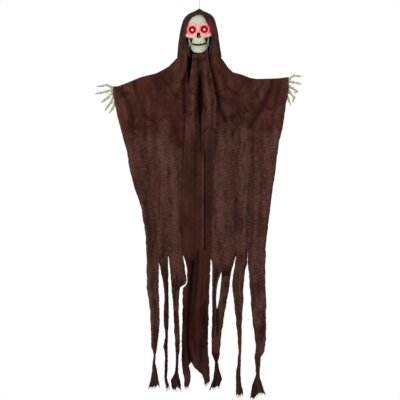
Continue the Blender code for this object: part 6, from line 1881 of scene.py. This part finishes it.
@dataclass
class Hood:
    """The gauze hood: gathered to the cord over the crown, open before the face, tucked in at the collar."""

    head: Head
    rows: tuple = (
        (9, 1.05, 1.05, 1.05), (11, 4.1, 4.6, 5), (12.9, 8.6, 9.2, 10.5), (14.3, 11, 12.4, 13.4),
        (16.4, 13.3, 14.6, 17.2), (19.5, 15.2, 16.6, 19.8), (23.5, 16.5, 18, 21.6), (28.5, 17.8, 20.2, 22.6),
        (34, 18.8, 21.5, 23.2), (40, 19.6, 21.8, 23.6), (46, 20.5, 21.2, 23.4), (51.5, 21.3, 19.8, 22.8),
        (57.2, 22.2, 18.05, 21.95),
    )
    right_opening: Table = (
        (14.4, 1.2), (15.8, 4.4), (17.9, 7.6), (21.9, 9.9), (25.5, 11.6), (32.7, 13.6), (37, 13.9), (42, 12.6),
        (46, 10.9), (51.5, 9.4), (57.2, 8.4),
    )
    left_opening: Table = (
        (14.4, 1), (15.8, 4), (20.4, 6.6), (24.5, 8.7), (30, 11.2), (33.7, 12.6), (38, 12.9), (43, 12), (47.4, 10.7),
        (51.5, 9.6), (57.2, 8.4),
    )
    thickness: float = 0.0008
    columns: int = 230
    count: int = 90
    hem: float = 0.0022

    def build(self, material: Material) -> Piece:
        """Makes the hood in place of its CAD solid.

        Args:
            material: Its gauze.

        Returns:
            The hood as one plain mesh.
        """
        levels = np.linspace(self.rows[0][0], self.rows[-1][0], self.count)
        half, front, back = smooth_read(self.rows, levels).T
        parted = ease(levels, 14.2, 15.2)
        left = np.arcsin(np.clip(read(self.left_opening, levels) * parted / half, 0, 1))[:, None]
        right = np.arcsin(np.clip(read(self.right_opening, levels) * parted / half, 0, 1))[:, None]
        share = np.linspace(0, 1, self.columns)[None, :]
        angle = left + (2 * math.pi - left - right) * share
        level = levels[:, None]
        loose = ease(level, 14, 30) * (1 - ease(level, 46, 57))
        pucker = 1 + 0.022 * np.sin(7 * angle) * loose
        deep = np.where(np.cos(angle) > 0, front[:, None], back[:, None])
        crown = ease(level, 9.5, 13) * (1 - ease(level, 22, 40))
        gathers = 0.9 * np.sin(11 * angle + 1.3) + 0.6 * np.sin(17 * angle + 0.4 + level * 0.03)
        soft = soft_noise(angle * 4.2, level / 11, 71) + 0.45 * soft_noise(angle * 11, level / 7, 72)
        edge = np.minimum(share, 1 - share) * 2 * math.pi
        calm = ease(edge, 0.05, 0.5) * ease(level, 9.2, 12) * (1 - ease(level, 53, 57))
        swell = 1 + (0.016 * soft + 0.01 * gathers * crown) * calm + 0.012 * calm
        x = half[:, None] * np.sin(angle) * PICTURE.pixel * pucker * swell
        y = -deep * np.cos(angle) * PICTURE.pixel * pucker * swell
        z = np.broadcast_to(PICTURE.down(level), x.shape)
        open_row = ease(level, 14.6, 18)
        roll = np.clip(1 - edge / 0.1, 0, 1) * open_row
        out = np.sin(roll * math.pi) * self.hem
        spread = np.hypot(x, y) + 1e-9
        x, y = x * (1 + out / spread), y * (1 + out / spread) + roll**2 * self.hem * 1.6
        points = np.stack([x, y, z], axis=-1)
        ring = np.linalg.norm(np.diff(points, axis=1), axis=-1)
        around = np.concatenate([np.zeros((self.count, 1)), np.cumsum(ring, axis=1)], axis=1)
        around -= around[:, -1:] / 2
        fall = np.linalg.norm(np.diff(points, axis=0), axis=-1)
        along = -np.concatenate([np.zeros((1, self.columns)), np.cumsum(fall, axis=0)])
        shade = 0.55 * ease(-soft, 0.1, 1.0) * calm + 0.35 * crown * ease(-gathers, 0.2, 1.2)
        shade = np.maximum(shade, 0.45 * (1 - ease(level, 10, 24)))
        shade = np.maximum(shade, 0.8 * np.exp(-(((edge - 0.13) / 0.05) ** 2)) * open_row)
        inner = (x > -0.0474) & (x < 0.0474)
        # painted highlights on the bulges of the folds, and the lower sides lighter
        crest = 0.45 * ease(soft + 0.5 * gathers * crown, 0.25, 1.1) * calm + 0.25 * ease(level, 44, 56) * ~inner
        # painted red light from the eye lamps on the cloth before the face
        glow = self.head.glow(points.reshape(-1, 3), 0.034).reshape(x.shape) * ease(-y, 0.03, 0.07)
        sheet = Sheet()
        flat = np.stack([around + 12.0, along], axis=-1)
        sheer = 1 - ease(level, 44, 56)
        sheet.add(points, flat, hollow=shade, sheer=sheer, crest=crest, glow=glow)
        made = sheet.make("gauze_hood", material, self.thickness, 0.00004)
        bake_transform(made)
        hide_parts("hood")
        return made


@dataclass
class Fringe:
    """Loose threads off torn edges: bent hairs set on points, each along its own direction."""

    thickness: float = 0.00026
    bend: float = 0.45
    bow_height: float = 0.55
    hair_end: tuple[float, float, float] = (0.15, 0.1, 1.0)
    longest: float = 0.016

    def tree(self) -> bpy.types.NodeTree:
        """The node group: one thread on each point, aimed along its way and as long as its reach.

        Returns:
            The node group.
        """
        group = bpy.data.node_groups.new("loose_threads", "GeometryNodeTree")
        face = group.interface
        face.new_socket(name="Geometry", in_out="INPUT", socket_type="NodeSocketGeometry")
        face.new_socket(name="Geometry", in_out="OUTPUT", socket_type="NodeSocketGeometry")
        for name, value in (("Thickness", self.thickness), ("Bend", self.bend)):
            face.new_socket(name=name, in_out="INPUT", socket_type="NodeSocketFloat").default_value = value
        face.new_socket(name="Seed", in_out="INPUT", socket_type="NodeSocketInt").default_value = 5
        face.new_socket(name="Material", in_out="INPUT", socket_type="NodeSocketMaterial")
        nodes, link = group.nodes, group.links.new
        start, end = nodes.new("NodeGroupInput"), nodes.new("NodeGroupOutput")

        def add(kind: str, **inputs: object) -> bpy.types.Node:
            """Adds a node.

            Args:
                kind: The node's type.
                inputs: Values, sockets or nodes by the input's name, with underscores for spaces.

            Returns:
                The node.
            """
            node = nodes.new(kind)
            for key, value in inputs.items():
                socket = node.inputs[key.replace("_", " ")]
                value = value.outputs[0] if isinstance(value, bpy.types.Node) else value
                if isinstance(value, Socket):
                    link(value, socket)
                else:
                    socket.default_value = value
            return node

        bow = add("ShaderNodeCombineXYZ", X=start.outputs["Bend"], Z=self.bow_height)
        hair = add("GeometryNodeCurveQuadraticBezier", Resolution=5, Start=(0, 0, 0), Middle=bow, End=self.hair_end)
        way, reach = [add("GeometryNodeInputNamedAttribute", Name=name) for name in ("way", "reach")]
        way.data_type, reach.data_type = "FLOAT_VECTOR", "FLOAT"
        aim = add("FunctionNodeAlignRotationToVector", Vector=way.outputs["Attribute"])
        aim.axis = "Z"
        scatter = add(
            "GeometryNodeInstanceOnPoints", Points=start.outputs["Geometry"], Instance=hair, Rotation=aim,
            Scale=reach.outputs["Attribute"],
        )
        angle = add("FunctionNodeRandomValue", Seed=start.outputs["Seed"])
        angle.data_type = "FLOAT"
        angle.inputs[3].default_value = 2 * math.pi
        spin = add("ShaderNodeCombineXYZ", Z=angle.outputs[1])
        turned = add("GeometryNodeRotateInstances", Instances=scatter, Rotation=spin)
        lines = add("GeometryNodeRealizeInstances", Geometry=turned)
        ring = add("GeometryNodeCurvePrimitiveCircle", Resolution=3, Radius=1.0)
        tube = add("GeometryNodeCurveToMesh", Curve=lines, Profile_Curve=ring, Scale=start.outputs["Thickness"])
        dress = add("GeometryNodeSetMaterial", Geometry=tube, Material=start.outputs["Material"])
        link(dress.outputs["Geometry"], end.inputs["Geometry"])
        return group

    def build(self, name: str, ragged: Ragged, material: Material, seed: int) -> Piece:
        """Makes the threads of one sheet.

        Args:
            name: The piece's name.
            ragged: Points and outward directions along torn edges.
            material: The threads' cloth.
            seed: Picks which edges have them.

        Returns:
            The threads as one plain mesh.
        """
        chance = np.random.default_rng(seed)
        places, ways, reaches = [], [], []
        for points, outward in ragged:
            tip = abs(outward[0]) < 0.1
            thick = np.repeat(points, 3, axis=0) if tip else points[chance.random(len(points)) < 0.42]
            toward = outward + chance.normal(0, 0.42, (len(thick), 3)) * (1.0, 0.35, 1.0)
            places.append(thick + chance.normal(0, 0.0007, (len(thick), 3)))
            ways.append(toward)
            reaches.append(chance.gamma(2.0, 0.0032 if tip else 0.0014, len(thick)))
        mesh = bpy.data.meshes.new(name)
        mesh.from_pydata(np.concatenate(places).tolist(), [], [])
        layer = mesh.attributes.new("way", "FLOAT_VECTOR", "POINT")
        layer.data.foreach_set("vector", np.concatenate(ways).ravel().astype(np.float32))
        paint(mesh, "reach", np.minimum(np.concatenate(reaches), self.longest))
        made = new_object(name, mesh, None)
        modifier = made.modifiers.new("threads", "NODES")
        modifier.node_group = bpy.data.node_groups.get("loose_threads") or self.tree()
        values = {"Thickness": self.thickness, "Bend": self.bend, "Seed": seed, "Material": material}
        for item in modifier.node_group.interface.items_tree:
            if item.in_out == "INPUT" and item.name in values:
                modifier[item.identifier] = values[item.name]
        plain_mesh(made)
        log.info("%s: %d threads", name, len(made.data.polygons) // 12)
        return made


@dataclass
class HangingCord:
    """The thin cord from its loop down to the hood's peak."""

    top: float = -0.0622
    length: float = 0.034
    diameter: float = 0.002
    points: int = 15

    def build(self, material: Material) -> Piece:
        """Makes the cord as one open curve, taut between its knot and its hitch.

        Args:
            material: The braid.

        Returns:
            The cord.
        """
        curve = bpy.data.curves.new("cord", "CURVE")
        curve.dimensions = "3D"
        curve.bevel_depth = self.diameter / 2
        curve.bevel_resolution = 4
        line = curve.splines.new("POLY")
        line.points.add(self.points - 1)
        for index, point in enumerate(line.points):
            share = index / (self.points - 1)
            point.co = (0.0, 0.0, self.top + self.length * share, 1.0)
        cord = new_object("cord", curve, None)
        curve.materials.append(material)
        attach(cord, "torso")
        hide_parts("hanging_cord")
        log.info("cord: %.0f mm long", self.length * 1000)
        return cord


@dataclass
class Studio:
    """A plain white studio: a pale floor below the hem, and soft lamps that light the front."""

    lens: float = 658.5
    distance: float = 30.0
    aim: tuple[float, float] = (0.0029, -0.8487)
    floor_half: float = 1.1
    floor_level: float = -1.91
    floor_tone: float = 0.86
    world_strength: float = 0.34
    lamp_aim: tuple[float, float, float] = (0.0, 0.0, -0.75)
    lamps: tuple = (
        ("key_lamp", (-1.2, -2.4, 0.4), 0.9, 40.0), ("fill_lamp", (0.8, -2.8, -0.4), 1.2, 22.0),
        ("top_lamp", (0.2, 0.9, 1.1), 1.0, 22.0),
    )

    def build(self) -> None:
        """Sets the world, the floor, the lamps and the camera."""
        self.light_world()
        self.lay_floor()
        for name, place, size, power in self.lamps:
            lamp = bpy.data.lights.new(name, "AREA")
            lamp.shape, lamp.size, lamp.energy = "DISK", size, power
            made = bpy.data.objects.new(name, lamp)
            made.location = place
            made.rotation_euler = (Vector(self.lamp_aim) - Vector(place)).to_track_quat("-Z", "Y").to_euler()
            bpy.context.scene.collection.objects.link(made)
        camera = bpy.data.objects.new("camera", bpy.data.cameras.new("camera"))
        camera.data.sensor_width = 36.0
        camera.data.lens = self.lens
        camera.location = (self.aim[0], -self.distance, self.aim[1])
        camera.rotation_euler = (math.pi / 2, 0, 0)
        bpy.context.scene.collection.objects.link(camera)
        bpy.context.scene.camera = camera
        bpy.context.scene.view_settings.view_transform = "Standard"

    def light_world(self) -> None:
        """White where the camera looks, and a softer white as light."""
        world = bpy.data.worlds.new("studio")
        bpy.context.scene.world = world
        world.use_nodes = True
        tree = world.node_tree
        backdrop = tree.nodes["Background"]
        backdrop.inputs["Color"].default_value = (1, 1, 1, 1)
        path = tree.nodes.new("ShaderNodeLightPath")
        seen = tree.nodes.new("ShaderNodeMath")
        seen.operation = "MAXIMUM"
        tree.links.new(path.outputs["Is Camera Ray"], seen.inputs[0])
        tree.links.new(path.outputs["Is Transmission Ray"], seen.inputs[1])
        level = tree.nodes.new("ShaderNodeMapRange")
        level.inputs["To Min"].default_value = self.world_strength
        tree.links.new(seen.outputs[0], level.inputs["Value"])
        tree.links.new(level.outputs["Result"], backdrop.inputs["Strength"])

    def lay_floor(self) -> None:
        """A pale floor a little below the hanging hem."""
        mesh = bpy.data.meshes.new("floor")
        half, level = self.floor_half, self.floor_level
        corners = [(-half, -half, level), (half, -half, level), (half, half, level), (-half, half, level)]
        mesh.from_pydata(corners, [], [(0, 1, 2, 3)])
        finish = bpy.data.materials.new("floor")
        finish.use_nodes = True
        surface = finish.node_tree.nodes["Principled BSDF"]
        surface.inputs["Base Color"].default_value = (*[self.floor_tone] * 3, 1)
        surface.inputs["Roughness"].default_value = 0.9
        new_object("floor", mesh, finish)


class SkeletonGhost:
    """The whole figure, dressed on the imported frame."""

    CLOTH_CUTS = {
        "robe_front": ((0.36, 1.3), 0.32), "robe_back": ((0.36, 1.28), 0.36), "lining": ((0.27, 0.28), 0.062),
    }
    STILL_CLOTH = (0.0585, -0.2546)
    ARM_CLOTH = (0.1788, -0.2108)

    def __init__(self) -> None:
        """Makes the finishes."""
        self.head = Head()
        self.cutting = Cutting()
        spots = {side: tuple(self.lamp_middle(side)) for side in Side}
        self.materials = {
            "robe": Gauze("robe_gauze").make(),
            "scarf": Gauze("scarf_gauze", lit=(0.112, 0.036, 0.026), sheer=0.8).make(),
            "hood": Gauze("hood_gauze", grey=(0.086, 0.037, 0.035), sheer=1.0).make(),
            "lining": Gauze("lining_cloth", lit=(0.03, 0.013, 0.012), thread_pitch=0.0009).make(),
            "bone": Bone().make(),
            "hand": Bone("hand_bone", (0.5, 0.49, 0.34), (0.4, 0.45, 0.3), (0.105, 0.105, 0.05)).make(),
            "frame": Plastic("black_plastic", (0.03, 0.03, 0.032), (0.055, 0.055, 0.055)).make(),
            "red": Plastic("red_plastic", (0.3, 0.01, 0.012), (0.36, 0.03, 0.03), 0.3).make(),
            "board": Plastic("circuit_board", (0.015, 0.11, 0.045), (0.03, 0.16, 0.07), 0.35).make(),
            "insulation": Plastic("red_insulation", (0.42, 0.02, 0.015), (0.5, 0.06, 0.04), 0.4).make(),
            "steel": Metal("steel").make(),
            "cord": Braid().make(),
            "lens": LampLens().make(),
            "cup_left": LampCup("lamp_cup_left", spots[Side.LEFT]).make(),
            "cup_right": LampCup("lamp_cup_right", spots[Side.RIGHT]).make(),
        }
        self.robe = Robe(self.materials)

    def lamp_middle(self, side: Side) -> Vector:
        """The middle of an eye lamp."""
        low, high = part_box("led_" + side.word)
        return (low + high) / 2

    def build(self) -> None:
        """Makes every piece."""
        self.head.build(self.materials)
        for side, droop, shares in ((Side.LEFT, 4.2, LEFT_DIGITS), (Side.RIGHT, 12.6, RIGHT_DIGITS)):
            Hand(side, droop, shares).build(self.materials)
        self.build_hood()
        for side in Side:
            self.build_robe(side)
        self.build_scarf()
        HangingCord().build(self.materials["cord"])
        self.dress_frame()

    def hang(self, made: Piece) -> None:
        """Bakes a piece of the robe's place into its mesh.

        Args:
            made: The piece.
        """
        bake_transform(made)

    def build_hood(self) -> None:
        """Makes the hood."""
        hood = Hood(self.head).build(self.materials["hood"])
        log.info("%s: %d faces", hood.name, len(hood.data.polygons))

    def build_robe(self, side: Side) -> None:
        """Front, back and lining of one side, with their loose threads.

        Args:
            side: The figure's side.
        """
        word = side.word
        offset = 100 if side is Side.LEFT else 200
        for kind, facing, strips in (
            ("robe_front", -1, self.cutting.fronts(side)), ("robe_back", 1, self.cutting.backs(side)),
            ("lining", -1, self.cutting.fronts(side)[:2]),
        ):
            sheet = Sheet()
            ragged = []
            total = 3 if kind == "lining" else len(strips)
            for index, cut in enumerate(strips):
                spread = (index / total, (index + 1) / total)
                seed = offset + 17 * index + (7 if facing > 0 else 0)
                ragged += self.robe.strip(sheet, cut, facing, spread, seed, kind == "lining")
            material = self.materials["lining" if kind == "lining" else "robe"]
            name = kind.replace("robe", "gauze") + "_" + word
            name = name + "_cloth" if kind == "lining" else name
            made = sheet.make(name, material, self.robe.thickness, self.robe.weld)
            self.hang(made)
            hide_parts(kind + "_" + word)
            if ragged:
                thread = Fringe().build(name + "_threads", ragged, self.materials["robe"], offset + facing)
                self.hang(thread)
            log.info("%s: %d faces", name, len(made.data.polygons))

    def build_scarf(self) -> None:
        """The scarf and its threads."""
        sheet = Sheet()
        ragged = Scarf(self.robe, self.cutting).add_to(sheet)
        made = sheet.make("gauze_scarf", self.materials["scarf"], self.robe.thickness, self.robe.weld)
        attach(made, "torso")
        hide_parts("front_drape")
        threads = Fringe().build("gauze_scarf_threads", ragged, self.materials["scarf"], 9)
        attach(threads, "torso")
        log.info("%s: %d faces", made.name, len(made.data.polygons))

    def dress_frame(self) -> None:
        """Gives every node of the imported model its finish."""
        fixed = {
            "led_left": "lens", "led_right": "lens", "eye_cup_left": "cup_left", "eye_cup_right": "cup_right",
            "skull_back": "bone", "battery_box": "frame", "battery_door": "frame",
        }
        by_slot = {
            "cord": "cord", "steel": "steel", "bone_plastic": "bone", "black_plastic": "frame", "gauze": "robe",
            "red_plastic": "red", "led_lens": "lens", "red_insulation": "insulation", "circuit_board": "board",
        }
        slots = {entry["node"]: entry["material_slot"] for entry in frame["record"]["subparts"]}
        for name, node in frame["nodes"].items():
            finish = fixed.get(name) or by_slot[slots[name]]
            node.data.materials.clear()
            node.data.materials.append(self.materials[finish])
            for layer in ("hollow", "glow") if finish == "bone" else ():
                paint(node.data, layer, np.zeros(len(node.data.vertices)))
        log.info("frame: %d nodes dressed", len(frame["nodes"]))


LEFT_DIGITS = (
    ((0.12, 0.02), (0.27, 0.17), (0.47, 0.31), (0.68, 0.29), (0.87, 0.28)),
    ((0.16, 0.03), (0.44, -0.01), (0.66, -0.05), (0.83, -0.11)),
    ((0.17, -0.1), (0.28, -0.24), (0.42, -0.31), (0.62, -0.46), (0.51, -0.56)),
    ((0.13, -0.2), (0.28, -0.52), (0.49, -0.76), (0.42, -0.99)),
    ((0.05, -0.26), (0.12, -0.56), (0.2, -0.82), (0.32, -1.14)),
)
RIGHT_DIGITS = (
    ((0.12, 0.03), (0.24, 0.16), (0.42, 0.24), (0.66, 0.2), (0.92, 0.16)),
    ((0.16, 0.02), (0.45, -0.08), (0.72, -0.14), (1.0, -0.2)),
    ((0.14, -0.1), (0.38, -0.38), (0.55, -0.5), (0.7, -0.62)),
    ((0.08, -0.22), (0.23, -0.61), (0.38, -0.8), (0.52, -1.01)),
    ((0.02, -0.3), (0.05, -0.7), (0.16, -0.92), (0.32, -1.15)),
)


def main() -> None:
    """Builds the figure and its studio."""
    logging.basicConfig(level=logging.INFO, format="%(message)s")
    SkeletonGhost().build()
    Studio().build()
    bpy.context.view_layer.update()


if __name__ == "__main__":
    main()
